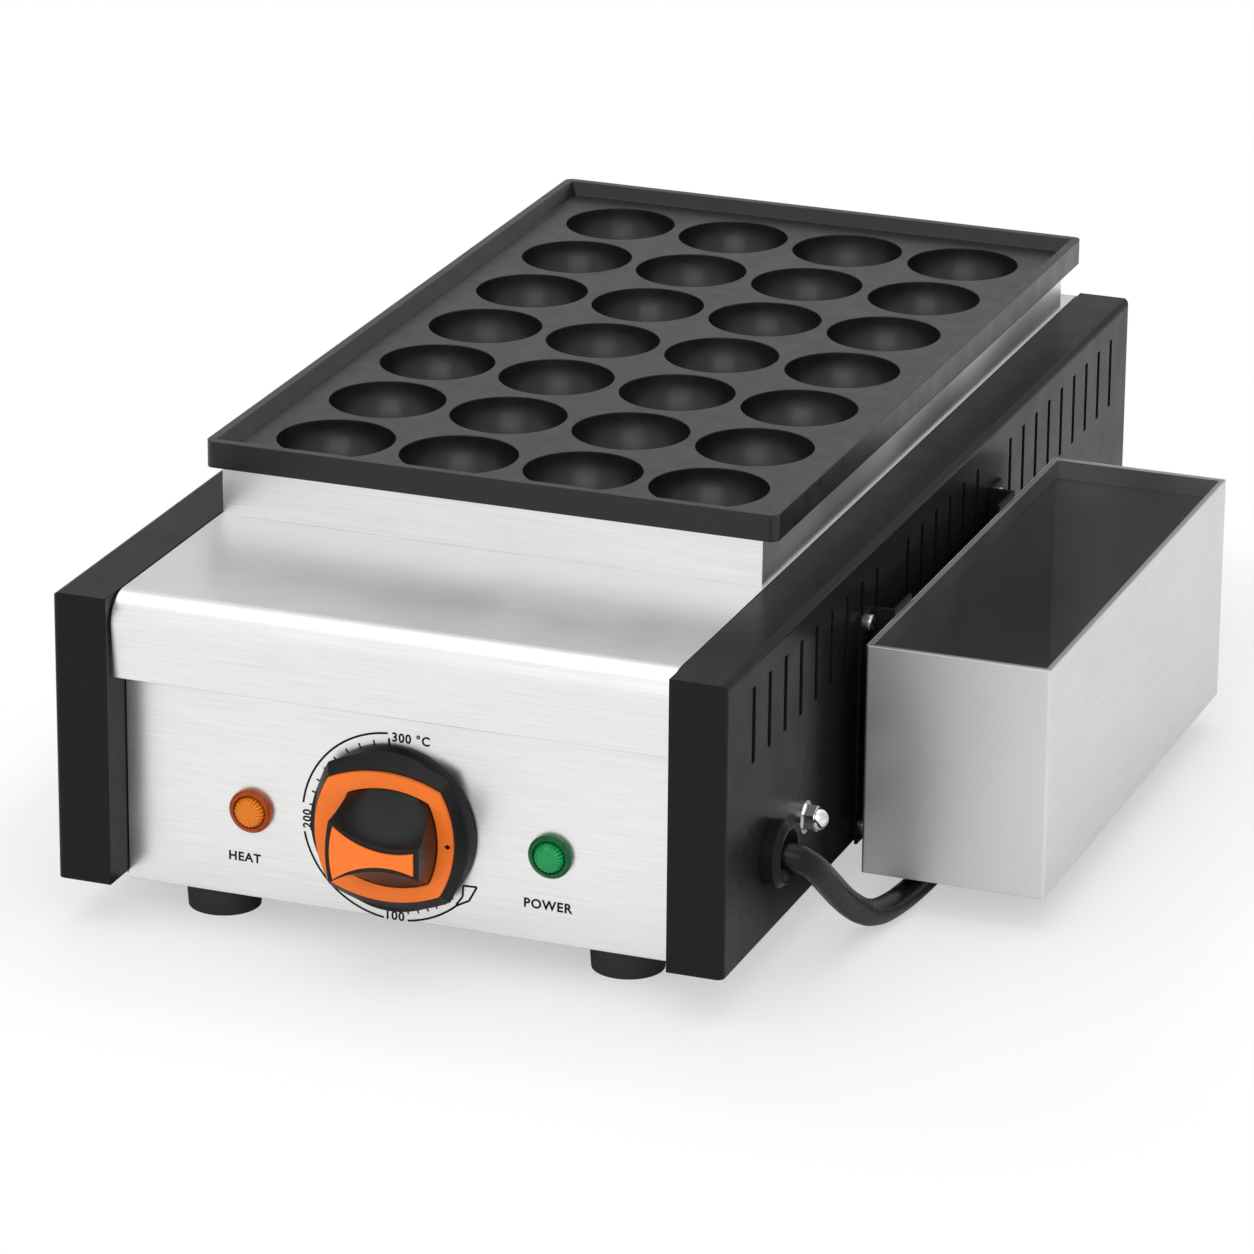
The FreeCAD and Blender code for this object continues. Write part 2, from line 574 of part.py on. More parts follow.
def rear_panel():
    """Bent sheet between the side walls, with a bottom flange under the base plate."""
    body = new_body("rear_panel")
    low = "wall_low - base_sheet - skin"
    face = "body_depth - rear_recess"
    profile = [(face, low), ("%s - panel_foot" % face, low), ("%s - panel_foot" % face, "%s + skin" % low),
               ("%s - skin" % face, "%s + skin" % low), ("%s - skin" % face, "wall_top - skin - sheet_gap"),
               (face, "wall_top - skin - sheet_gap")]
    pad(body, "YZ", [profile], "-(%s - sheet_gap)" % INNER, "%s - sheet_gap" % INNER)


def base_plate():
    """Flat sheet under the side panels' bottom flanges, on the front and rear panels' bottom flanges."""
    body = new_body("base_plate")
    side = "(%s - skin - sheet_gap)" % HALF
    front = "recess + skin + sheet_gap"
    back = "body_depth - rear_recess - skin - sheet_gap"
    pad(body, "XY", [block("-" + side, side, front, back)], "wall_low - base_sheet", "wall_low")
    holes = [disc(x, y, "foot_bolt + running_fit") for x, y in FOOT_POINTS]
    for y in BASE_SCREW_YS:
        holes.append(disc("-base_screw_x", y, "screw_radius + running_fit"))
        holes.append(disc("base_screw_x", y, "screw_radius + running_fit"))
    cut(body, "XY", holes, "wall_low - cut_over", "wall_low + cut_over")


def deck():
    """Top sheet with a rolled front lip, a rear flange and the opening for the plate."""
    body = new_body("deck")
    back = "(body_depth - lip_face)"
    profile = [("lip_face", "wall_top"), (back, "wall_top"), (back, "deck_back_low"),
               ("%s - skin" % back, "deck_back_low"), ("%s - skin" % back, "wall_top - skin"),
               ("lip_face + skin", "wall_top - skin"), ("lip_face + lip_inset + skin", "lip_low"),
               ("lip_face + lip_inset", "lip_low")]
    side = "(%s - deck_gap)" % INNER
    pad(body, "YZ", [profile], "-" + side, side)
    top = size("wall_top")

    def outer_front(edge):
        middle = edge.CenterOfMass
        return runs_along(edge, X_AXIS) and near(middle.y, size("lip_face")) and near(middle.z, top)

    def inner_front(edge):
        middle = edge.CenterOfMass
        return runs_along(edge, X_AXIS) and near(middle.y, size("lip_face") + skin) and near(middle.z, top - skin)

    def outer_back(edge):
        middle = edge.CenterOfMass
        at_back = near(middle.y, size("body_depth") - size("lip_face"))
        return runs_along(edge, X_AXIS) and at_back and near(middle.z, top)

    soften(body, "lip_bend - skin", inner_front)
    soften(body, "lip_bend", outer_front)
    soften(body, "bend", outer_back)
    edge_x = "(riser_width / 2 - opening_margin)"
    opening = block("-" + edge_x, edge_x, "riser_front + opening_margin", "riser_back - opening_margin")
    cut(body, "XY", [opening], "wall_top - cut_over", "wall_top + cut_over")


def riser():
    """Collar between the deck and the plate, with an inner top flange gusseted at the corners."""
    body = new_body("riser")
    side = "(riser_width / 2)"
    pad(body, "XY", [block("-" + side, side, "riser_front", "riser_back")], "wall_top", "plate_low")
    inside = block("-(%s - skin)" % side, "%s - skin" % side, "riser_front + skin", "riser_back - skin")
    cut(body, "XY", [inside], "wall_top", "plate_low - skin")
    edge_x = "%s - riser_flange" % side
    front, back = "riser_front + riser_flange", "riser_back - riser_flange"
    hole = [("-(%s)" % edge_x, "%s + riser_corner" % front), ("-(%s - riser_corner)" % edge_x, front),
            ("%s - riser_corner" % edge_x, front), (edge_x, "%s + riser_corner" % front),
            (edge_x, "%s - riser_corner" % back), ("%s - riser_corner" % edge_x, back),
            ("-(%s - riser_corner)" % edge_x, back), ("-(%s)" % edge_x, "%s - riser_corner" % back)]
    cut(body, "XY", [hole], "plate_low - cut_over", "plate_low + cut_over")
    studs = [disc(x, y, "stud_radius + hole_gap") for x, y in STUDS]
    cut(body, "XY", studs, "plate_low - cut_over", "plate_low + cut_over")


STUD_X = "(riser_width / 2 - stud_inset_x)"
STUD_FRONT, STUD_BACK = "riser_front + stud_inset_y", "riser_back - stud_inset_y"
STUDS = [("-" + STUD_X, STUD_FRONT), (STUD_X, STUD_FRONT), ("-" + STUD_X, STUD_BACK), (STUD_X, STUD_BACK)]


def grid(body, feature):
    """Copies of a feature in rows and columns, from the front left well on."""
    sketch = sketch_on(body, "XY", "plate_surface")
    across = doc.addObject("PartDesign::LinearPattern", body.Label + "_across")
    across.Direction = (sketch, ["H_Axis"])
    across.setExpression("Length", bound("well_step_x * (wells_across - 1)"))
    across.setExpression("Occurrences", bound("wells_across"))
    along = doc.addObject("PartDesign::LinearPattern", body.Label + "_along")
    along.Direction = (sketch, ["V_Axis"])
    along.setExpression("Length", bound("well_step_y * (wells_along - 1)"))
    along.setExpression("Occurrences", bound("wells_along"))
    both = body.newObject("PartDesign::MultiTransform", body.Label + "_grid")
    both.Originals = [feature]
    both.Transformations = [across, along]
    for pattern in (across, along):
        body.addObject(pattern)
    both.Transformations = [across, along]
    body.Tip = both
    doc.recompute()
    return both


def ball_sketch(body, radius):
    """Half a circle's area below the plate's face, at the front left well, to be turned about its own edge."""
    sketch = sketch_on(body, "XZ", "-(%s)" % FIRST_WELL_Y)
    arc = Part.ArcOfCircle(Part.Circle(Vector(), Vector(0, 0, 1), 5), math.pi * 1.5, math.pi * 2)
    sketch.addGeometry(arc)
    sketch.addGeometry(Part.LineSegment(Vector(5, 0, 0), Vector(0, 0, 0)))
    sketch.addGeometry(Part.LineSegment(Vector(0, 0, 0), Vector(0, -5, 0)))
    sketch.addConstraint(Sketcher.Constraint("Coincident", 0, 2, 1, 1))
    sketch.addConstraint(Sketcher.Constraint("Coincident", 1, 2, 2, 1))
    sketch.addConstraint(Sketcher.Constraint("Coincident", 2, 2, 0, 1))
    sketch.addConstraint(Sketcher.Constraint("Coincident", 0, 3, 1, 2))
    sketch.addConstraint(Sketcher.Constraint("Vertical", 2))
    sketch.addConstraint(Sketcher.Constraint("Horizontal", 1))
    pin(sketch, 1, 2, (FIRST_WELL_X, "plate_surface"))
    number = sketch.addConstraint(Sketcher.Constraint("Radius", 0, 5.0))
    sketch.setExpression("Constraints[%d]" % number, bound(radius))
    return sketch


FIRST_WELL_X = "(-well_step_x * (wells_across - 1) / 2)"
FIRST_WELL_Y = "(wells_centre - well_step_y * (wells_along - 1) / 2)"


def cooking_plate():
    """Casting with a raised rim and round wells that show as round bellies underneath."""
    body = new_body("cooking_plate")
    side = "(plate_width / 2)"
    pad(body, "XY", [block("-" + side, side, "plate_front", "plate_back")], "plate_low", "plate_top")
    soften(body, "plate_corner", lambda edge: runs_along(edge, Z_AXIS))
    inside = block("-(%s - rim_top)" % side, "%s - rim_top" % side, "plate_front + rim_top", "plate_back - rim_top")
    cut(body, "XY", [inside], "plate_surface", "plate_top", taper="-rim_slope")
    belly = body.newObject("PartDesign::Revolution", "belly")
    belly.Profile = ball_sketch(body, "well_radius + well_wall")
    belly.ReferenceAxis = (belly.Profile[0], ["Edge3"])
    belly.Angle = 360
    doc.recompute()
    grid(body, belly)
    well = body.newObject("PartDesign::Groove", "well")
    well.Profile = ball_sketch(body, "well_radius")
    well.ReferenceAxis = (well.Profile[0], ["Edge3"])
    well.Angle = 360
    doc.recompute()
    grid(body, well)
    return body


def heat_shield():
    """Tray that hangs under the deck below the elements, with holes for their legs and the capillary."""
    body = new_body("heat_shield")
    side = "(%s - ledge - sheet_gap)" % INNER
    front, back = "(riser_front + skin)", "(riser_back - skin)"
    rim = "(wall_top - skin)"
    pad(body, "XY", [block("-" + side, side, front, back)], "shield_low", rim)
    for low, high in (("%s - shield_lip" % front, "%s + shield_sheet" % front),
                      ("%s - shield_sheet" % back, "%s + shield_lip" % back)):
        pad(body, "XY", [block("-" + side, side, low, high)], "%s - shield_sheet" % rim, rim)
    inside = block("-(%s - shield_sheet)" % side, "%s - shield_sheet" % side, "%s + shield_sheet" % front,
                   "%s - shield_sheet" % back)
    cut(body, "XY", [inside], "shield_low + shield_sheet", "wall_top")
    holes = [disc(x, "element_front", "element_radius + running_fit") for x in ELEMENT_LEGS]
    holes.append(disc("0", "capillary_rise", "capillary_radius + hole_gap"))
    cut(body, "XY", holes, "shield_low - cut_over", "shield_low + cut_over")


COLUMN_X = "(well_step_x * (wells_across - 1) / 2)"
ELEMENT_LEGS = ["%s%s %s element_bow" % (sign, COLUMN_X, way) for sign in ("-", "") for way in ("-", "+")]


def sweep(points_and_arcs, radius):
    """A round bar along a path of edges."""
    wire = Part.Wire(points_and_arcs)
    first = points_and_arcs[0]
    start = first.valueAt(first.FirstParameter)
    along = first.tangentAt(first.FirstParameter)
    profile = Part.Wire([Part.makeCircle(radius, start, along)])
    return wire.makePipeShell([profile], True, True)


def heating_element(label, side):
    """A U round one outer column of wells, with its legs turned down through the heat shield."""
    middle = side * size("well_step_x") * (size("wells_across") - 1) / 2
    bow, bend = size("element_bow"), size("element_bend")
    level, low, front = size("element_height"), size("element_low"), size("element_front")
    turn_y = size("wells_centre") + size("well_step_y") * (size("wells_along") - 1) / 2
    near_x, far_x = middle - bow, middle + bow
    diagonal = math.sqrt(0.5)

    def leg(x):
        foot, knee = Vector(x, front, low), Vector(x, front, level - bend)
        turned = Vector(x, front + bend, level)
        between = Vector(x, front + bend * (1 - diagonal), level - bend * (1 - diagonal))
        return [Part.LineSegment(foot, knee).toShape(), Part.Arc(knee, between, turned).toShape(),
                Part.LineSegment(turned, Vector(x, turn_y, level)).toShape()]

    turn = Part.Arc(Vector(near_x, turn_y, level), Vector(middle, turn_y + bow, level),
                    Vector(far_x, turn_y, level)).toShape()
    path = leg(near_x) + [turn] + leg(far_x)
    wire_edges = Part.__sortEdges__(path)
    bar = sweep(wire_edges, size("element_radius"))
    seat = size("shield_low") + size("shield_sheet")
    for x in (near_x, far_x):
        bar = bar.fuse(rod((x, front, seat), (0, 0, 1), size("ferrule_radius"), size("ferrule_height")))
        bar = bar.fuse(rod((x, front, low - size("pin_stub")), (0, 0, 1), size("pin_stub_radius"),
                           size("pin_stub") + size("pin_root")))
    return shaped(label, bar)


def hexagon(centre, axis, flats, bore, height):
    """A hexagon nut with a plain bore."""
    points = []
    for k in range(7):
        angle = math.pi / 3 * k
        points.append(Vector(flats / math.sqrt(3) * math.cos(angle), flats / math.sqrt(3) * math.sin(angle), 0))
    nut = Part.Face(Part.makePolygon(points)).extrude(Vector(0, 0, height))
    nut = nut.cut(Part.makeCylinder(bore, height + 2, Vector(0, 0, -1)))
    nut.Placement = Placement(Vector(*centre), Rotation(Z_AXIS, Vector(*axis)))
    return nut


def pan_screw(head_seat, inward, length, shank, head, head_height):
    """A screw whose head sits on head_seat and whose shank points inward."""
    seat, way = Vector(*head_seat), Vector(*inward)
    top = Part.makeCylinder(head, head_height, seat, way * -1)
    rim = [edge for edge in top.Edges if isinstance(edge.Curve, Part.Circle)
           and near((edge.Curve.Center - seat).Length, head_height)]
    top = top.makeFillet(head_height * 0.45, rim)
    return top.fuse(Part.makeCylinder(shank, length, seat, way))


def fasteners():
    """Studs, nuts and screws, each kind as one group."""
    stud_x = size("riser_width") / 2 - size("stud_inset_x")
    stud_ys = (size("riser_front") + size("stud_inset_y"), size("riser_back") - size("stud_inset_y"))
    under = size("plate_low")
    studs, nuts = [], []
    for x in (-stud_x, stud_x):
        for y in stud_ys:
            studs.append(rod((x, y, under - size("stud_length")), (0, 0, 1), size("stud_radius"),
                             size("stud_length")))
            nuts.append(hexagon((x, y, under - skin - size("nut_height")), (0, 0, 1), size("nut_flats"),
                                size("stud_radius") + size("running_fit"), size("nut_height")))
    shaped("plate_studs", Part.makeCompound(studs))
    shaped("plate_nuts", Part.makeCompound(nuts))
    foot_x, foot_ys = size("foot_x"), (size("foot_inset"), size("body_depth") - size("foot_inset"))
    bolts, bolt_nuts = [], []
    bolt = size("foot_bolt")
    reach = size("wall_low") - size("hollow_depth") + size("foot_nut_height") + size("bolt_over")
    for x in (-foot_x, foot_x):
        for y in foot_ys:
            bolts.append(pan_screw((x, y, size("hollow_depth")), (0, 0, 1), reach, bolt, bolt * 2, bolt))
            bolt_nuts.append(hexagon((x, y, size("wall_low")), (0, 0, 1), size("foot_nut_flats"),
                                     bolt + size("running_fit"), size("foot_nut_height")))
    shaped("foot_screws", Part.makeCompound(bolts))
    shaped("foot_nuts", Part.makeCompound(bolt_nuts))
    small = (size("screw_radius"), size("screw_head"), size("screw_head_height"))
    base_x = size("base_screw_x")
    base_ys = (size("base_screw_end"), size("body_depth") / 2, size("body_depth") - size("base_screw_end"))
    under_base = size("wall_low") - size("base_sheet")
    shaped("base_screws", Part.makeCompound([
        pan_screw((side * base_x, y, under_base), (0, 0, 1), size("base_screw_length"), *small)
        for side in (-1, 1) for y in base_ys]))
    seat_x = half + size("bracket_sheet")
    shaped("bracket_screws", Part.makeCompound([
        pan_screw((seat_x, size(y), size(z)), (-1, 0, 0), size("bracket_screw_length"), *small)
        for y in BRACKET_SCREW_YS for z in BRACKET_SCREW_ZS]))
    panel = size("recess")
    spacing = size("mount_spacing") / 2
    low_head = size("knob_gap") - size("running_fit")
    shaped("thermostat_screws", Part.makeCompound([
        pan_screw((size("knob_x") + way * spacing, panel, size("knob_z")), (0, 1, 0), size("mount_screw"),
                  size("screw_radius"), size("screw_head"), min(low_head, size("screw_head_height")) * 0.9)
        for way in (-1, 1)]))


def foot(label, point):
    """Rubber foot, a little wider at the top, with a hollow for its screw."""
    body = new_body(label)
    x, y = point
    place(body, x, y)
    top = "wall_low - base_sheet"
    revolve(body, [("foot_bolt + running_fit", "hollow_depth"), ("hollow_radius", "hollow_depth"),
                   ("hollow_radius", "0"), ("foot_radius", "0"), ("foot_top_radius", top),
                   ("foot_bolt + running_fit", top)])


def thermostat():
    """Round control body on a mounting bar behind the front panel, bored for the shaft."""
    body = new_body("thermostat")
    front = "recess + skin"
    body_front = front + " + thermostat_bar"
    bar = block("knob_x - thermostat_radius - bar_over", "knob_x + thermostat_radius + bar_over",
                "knob_z - bar_height / 2", "knob_z + bar_height / 2")
    pad(body, "XZ", [bar], front, body_front)
    pad(body, "XZ", [disc("knob_x", "knob_z", "thermostat_radius")], body_front, body_front + " + thermostat_depth")
    cut(body, "XZ", [disc("knob_x", "knob_z", "shaft_radius + running_fit")], front,
        front + " + shaft_in + hole_gap")
    cut(body, "XZ", [disc("knob_x - mount_spacing / 2", "knob_z", "screw_radius + running_fit"),
                     disc("knob_x + mount_spacing / 2", "knob_z", "screw_radius + running_fit")],
        front, front + " + mount_screw")


def knob_shaft():
    """Round shaft with a flat where the knob sits."""
    body = new_body("knob_shaft")
    front, back = "recess - knob_gap - shaft_grip", "recess + skin + shaft_in"
    pad(body, "XZ", [disc("knob_x", "knob_z", "shaft_radius")], front, back)
    flat = block("knob_x - shaft_radius - hole_gap", "knob_x + shaft_radius + hole_gap", "knob_z + shaft_flat",
                 "knob_z + shaft_radius + hole_gap")
    cut(body, "XZ", [flat], front + " - cut_over", "recess - knob_gap")


def barrel(y, across, tall):
    """A square with bulging sides, drawn upright at depth y round the knob's axis."""
    side, top = across / 2, tall / 2
    share, shift = size("corner_share"), size("corner_shift")
    corner_x, corner_z = side * share + shift, top * share + shift
    axis_x, axis_z = size("knob_x"), size("knob_z")

    def at(x, z):
        return Vector(axis_x + x, y, axis_z + z)

    corners = [(corner_x, corner_z), (-corner_x, corner_z), (-corner_x, -corner_z), (corner_x, -corner_z)]
    middles = [(0, top), (-side, 0), (0, -top), (side, 0)]
    edges = []
    for k in range(4):
        edges.append(Part.Arc(at(*corners[k]), at(*middles[k]), at(*corners[(k + 1) % 4])).toShape())
    return Part.Wire(edges)


def hourglass(y, grow):
    """The grip's outline at depth y, larger all round by grow."""
    left, right = -size("grip_left") - grow, size("grip_right") + grow
    left_top, right_top = size("grip_left_height") / 2 + grow, size("grip_right_height") / 2 + grow
    waist_x, waist = size("grip_waist_x"), size("grip_waist") / 2 + grow
    axis_x, axis_z = size("knob_x"), size("knob_z")

    def at(x, z):
        return Vector(axis_x + x, y, axis_z + z)

    return Part.Wire([
        Part.Arc(at(left, left_top), at(waist_x, waist), at(right, right_top)).toShape(),
        Part.LineSegment(at(right, right_top), at(right, -right_top)).toShape(),
        Part.Arc(at(right, -right_top), at(waist_x, -waist), at(left, -left_top)).toShape(),
        Part.Arc(at(left, -left_top), at(left - size("grip_bow"), 0), at(left, left_top)).toShape()])


# The grip's hollowed flanks: how far forward, and how wide there beyond the front, as shares.
GRIP_FLANK = [(0, 1), (0.14, 0.62), (0.34, 0.31), (0.62, 0.1), (1, 0)]


def knob():
    """Base, ring, grip and inset. The ring is a separate moulding pressed on to the base."""
    back = size("recess") - size("knob_gap")
    step = back - size("knob_step")
    front = back - size("knob_depth")
    ring_front = front - size("ring_thickness")
    grip_front = ring_front - size("grip_reach")
    axis = (size("knob_x"), 0, size("knob_z"))
    skirt = Part.makeCone(size("knob_skirt") / 2, size("knob_square") / 2 + size("knob_shoulder"),
                          size("knob_step"), Vector(axis[0], back, axis[2]), Vector(0, -1, 0))
    square = Part.makeLoft([barrel(step, size("knob_square"), size("knob_square")),
                            barrel(front, size("knob_face"), size("knob_face_height"))], True)
    base = skirt.fuse(square).removeSplitter()
    base = base.cut(rod((axis[0], back, axis[2]), (0, -1, 0), size("shaft_radius") + size("running_fit"),
                        size("shaft_grip") + size("running_fit")))
    shaped("knob_base", base)
    opening = barrel(front, size("ring_inner"), size("ring_inner_height"))
    opening.translate(Vector(size("ring_shift"), 0, 0))
    margin = 2 * size("ring_margin")
    outer_face = Part.Face(barrel(front, size("knob_face") - margin, size("knob_face_height") - margin))
    ring = outer_face.cut(Part.Face(opening)).extrude(Vector(0, -size("ring_thickness"), 0))
    shaped("knob_ring", ring)
    depth = front - grip_front
    flanks = [hourglass(front - depth * way, size("grip_foot") * width) for way, width in GRIP_FLANK]
    grip = Part.makeLoft(flanks, True)
    opening_block = Part.Face(opening).extrude(Vector(0, -size("grip_reach") - size("ring_thickness"), 0))
    shaped("knob_grip", grip.common(opening_block))
    inset = Part.Face(hourglass(grip_front, -size("inset_margin"))).extrude(
        Vector(0, -size("inset_thickness"), 0))
    shaped("knob_inset", inset)


def lamp(name, side):
    """Bezel and barrel in one moulding, with a clear lens in front and a push-on clip behind the panel."""
    x = "%slamp_spacing" % ("-" if side < 0 else "")
    body = place(new_body(name + "_bezel"), x, "recess", "lamp_z", FORWARD)
    seat = "lens_radius + running_fit"
    revolve(body, [("0", "-barrel_length"), ("barrel_radius", "-barrel_length"), ("barrel_radius", "0"),
                   ("bezel_radius", "0"), ("bezel_radius", "bezel_side"),
                   ("bezel_radius - bezel_bevel", "bezel_height"), (seat, "bezel_height"), (seat, "lens_seat"),
                   ("0", "lens_seat")])
    lens = place(new_body(name + "_lens"), x, "recess", "lamp_z", FORWARD)
    revolve(lens, [("0", "lens_seat"), ("lens_radius", "lens_seat"), ("lens_radius", "lens_side"),
                   ("lens_radius - lens_bevel", "lens_shoulder"), ("0", "lens_height")])


def lamp_clips():
    rings = []
    behind = size("recess") + skin
    for side in (-1, 1):
        centre = (side * size("lamp_spacing"), behind, size("lamp_z"))
        ring = rod(centre, (0, 1, 0), size("barrel_radius") + size("lamp_clip_width"), size("clip_sheet"))
        bore = rod(centre, (0, 1, 0), size("barrel_radius") + size("running_fit"), size("clip_sheet"))
        rings.append(ring.cut(bore))
    shaped("lamp_clips", Part.makeCompound(rings))


def through_wall(label, y, z, corners):
    """A turned piece whose axis points out of the right wall."""
    body = place(new_body(label), HALF, y, z, RIGHTWARD)
    revolve(body, corners)
    return body


def wall_fittings():
    """Cable bush with its locknut, and the earth stud with its washer and acorn nut."""
    through_wall("cable_bush", "bush_y", "bush_z",
                 [("0", "-bush_behind"), ("bush_neck", "-bush_behind"), ("bush_neck", "0"), ("bush_radius", "0"),
                  ("bush_radius", "bush_reach - bush_rim"), ("bush_radius - bush_bevel", "bush_reach"),
                  ("bush_mouth", "bush_reach"), ("cord_radius + hole_gap", "bush_reach * 0.3"),
                  ("cord_radius + hole_gap", "-bush_seat"), ("0", "-bush_seat")])
    nut_bore, nut_back = "bush_neck + running_fit", "-skin - bush_nut_height"
    through_wall("bush_locknut", "bush_y", "bush_z",
                 [(nut_bore, nut_back), ("bush_radius + bush_nut_over", nut_back),
                  ("bush_radius + bush_nut_over", "-skin"), (nut_bore, "-skin")])
    through_wall("earth_stud", "earth_y", "earth_z",
                 [("0", "-earth_in"), ("earth_radius", "-earth_in"), ("earth_radius", "earth_out"),
                  ("0", "earth_out")])
    washer_bore = "earth_radius + running_fit"
    through_wall("earth_washer", "earth_y", "earth_z",
                 [(washer_bore, "0"), ("washer_radius", "0"), ("washer_radius", "washer_sheet"),
                  (washer_bore, "washer_sheet")])
    centre = (half + size("washer_sheet"), size("earth_y"), size("earth_z"))
    bore, tall = size("earth_radius") + size("running_fit"), size("acorn_height")
    nut = hexagon(centre, (1, 0, 0), size("acorn_flats"), bore, tall)
    dome = Part.makeSphere(tall, Vector(centre[0] + tall, centre[1], centre[2]))
    ahead = Part.makeBox(2 * tall, 4 * tall, 4 * tall,
                         Vector(centre[0] + tall, centre[1] - 2 * tall, centre[2] - 2 * tall))
    shaped("acorn_nut", nut.fuse(dome.common(ahead)))
    inner = (half - skin - size("earth_nut_height"), centre[1], centre[2])
    shaped("earth_nut", hexagon(inner, (1, 0, 0), size("earth_nut_flats"), bore, size("earth_nut_height")))


BIN_X = "(%s + bin_gap)" % HALF


def side_bin():
    """Open tray of thin sheet with a folded rim."""
    body = new_body("side_bin")
    left, right = BIN_X, "%s + bin_width" % BIN_X
    front, back = "bin_front", "bin_front + bin_length"
    pad(body, "XY", [block(left, right, front, back)], "bin_low", "bin_top")
    soften(body, "bin_sheet", lambda edge: runs_along(edge, Z_AXIS))
    mouth = block("%s + bin_hem" % left, "%s - bin_hem" % right, "%s + bin_hem" % front, "%s - bin_hem" % back)
    cut(body, "XY", [mouth], "bin_low + bin_sheet", "bin_top")
    inside = block("%s + bin_sheet" % left, "%s - bin_sheet" % right, "%s + bin_sheet" % front,
                   "%s - bin_sheet" % back)
    cut(body, "XY", [inside], "bin_low + bin_sheet", "bin_top - bin_hem_height")


def bracket(label, web, way):
    """Z-section strip: a flange on the wall, a web, and a flange on the bin."""
    body = new_body(label)
    sign = "-" if way < 0 else "+"
    back = "+" if way < 0 else "-"
    wall, tray = HALF, BIN_X
    profile = [(wall, "%s %s bracket_sheet %s bracket_wall_flange" % (web, sign, sign)),
               ("%s + bracket_sheet" % wall, "%s %s bracket_sheet %s bracket_wall_flange" % (web, sign, sign)),
               ("%s + bracket_sheet" % wall, "%s %s bracket_sheet" % (web, sign)),
               (tray, "%s %s bracket_sheet" % (web, sign)),
               (tray, "%s %s bracket_bin_flange" % (web, back)),
               ("%s - bracket_sheet" % tray, "%s %s bracket_bin_flange" % (web, back)),
               ("%s - bracket_sheet" % tray, web), (wall, web)]
    pad(body, "XY", [profile], "bracket_low", "bracket_top")
    y = BRACKET_SCREW_YS[0 if way < 0 else 1]
    holes = [disc(y, z, "screw_radius + running_fit") for z in BRACKET_SCREW_ZS]
    cut(body, "YZ", holes, "%s - cut_over" % HALF, "%s + cut_over" % HALF)


def bulb_and_capillary():
    """Thermostat's bulb between the two middle columns of wells, its clips and its thin copper tube."""
    level, radius = size("element_height"), size("bulb_radius")
    front, length = size("bulb_front"), size("bulb_length")
    bulb = rod((0, front, level), (0, 1, 0), radius, length)
    shaped("sensing_bulb", bulb)
    floor = size("shield_low") + size("shield_sheet")
    along, thick = size("clip_length"), size("clip_sheet")
    clips = []
    for share in (0.2, 0.8):
        y = front + length * share - along / 2
        ring = rod((0, y, level), (0, 1, 0), radius + size("clip_wall"), along)
        post = Part.makeBox(thick, along, level - floor, Vector(-thick / 2, y, floor))
        bore = rod((0, y - along, level), (0, 1, 0), radius + size("running_fit"), 3 * along)
        clips.append(ring.fuse(post).cut(bore))
    shaped("bulb_clips", Part.makeCompound(clips))
    back = size("recess") + skin + size("thermostat_bar") + size("thermostat_depth")
    rise = size("capillary_rise")
    exit_z = size("knob_z") + size("thermostat_radius") * 0.5
    route = [Vector(size("knob_x"), back, exit_z), Vector(size("knob_x"), back + size("capillary_run"), exit_z),
             Vector(0, rise, exit_z + size("capillary_step")), Vector(0, rise, level), Vector(0, front, level)]
    shaped("capillary_tube", sweep(rounded_path(route, size("capillary_bend")), size("capillary_radius")))


def terminal_block():
    """Moulded block on the base plate, with a screw chamber for each of three wires."""
    body = new_body("terminal_block")
    x, y = "(body_width / 4)", "(body_depth / 8)"
    outside = block("%s - block_length / 2" % x, "%s + block_length / 2" % x, "%s - block_width / 2" % y,
                    "%s + block_width / 2" % y)
    pad(body, "XY", [outside], "wall_low", "wall_low + block_height")
    middles = ["%s - chamber_spacing" % x, x, "%s + chamber_spacing" % x]
    chambers = [block("%s - chamber_length / 2" % middle, "%s + chamber_length / 2" % middle,
                      "%s - chamber_width / 2" % y, "%s + chamber_width / 2" % y) for middle in middles]
    cut(body, "XY", chambers, "wall_low + block_floor", "wall_low + block_height")


def rounded_path(points, largest=None):
    """Edges of straight runs joined by tangent arcs. Each arc takes 0.45 of its shorter run."""
    edges, start = [], points[0]
    for k in range(1, len(points) - 1):
        before, corner, after = points[k - 1], points[k], points[k + 1]
        come, go = corner - before, after - corner
        trim = 0.45 * min(come.Length, go.Length)
        turn = come.getAngle(go)
        radius = trim / math.tan(turn / 2)
        if largest and radius > largest:
            radius = largest
            trim = radius * math.tan(turn / 2)
        come.normalize()
        go.normalize()
        enter, leave = corner - come * trim, corner + go * trim
        inward = go - come * come.dot(go)
        inward.normalize()
        middle = enter + inward * radius
        toward = corner - middle
        toward.normalize()
        if not largest:
            print("cord radius %.1f at turn %.0f degrees" % (radius, math.degrees(turn)))
        edges.append(Part.LineSegment(start, enter).toShape())
        edges.append(Part.Arc(enter, middle + toward * radius, leave).toShape())
        start = leave
    edges.append(Part.LineSegment(start, points[-1]).toShape())
    return edges


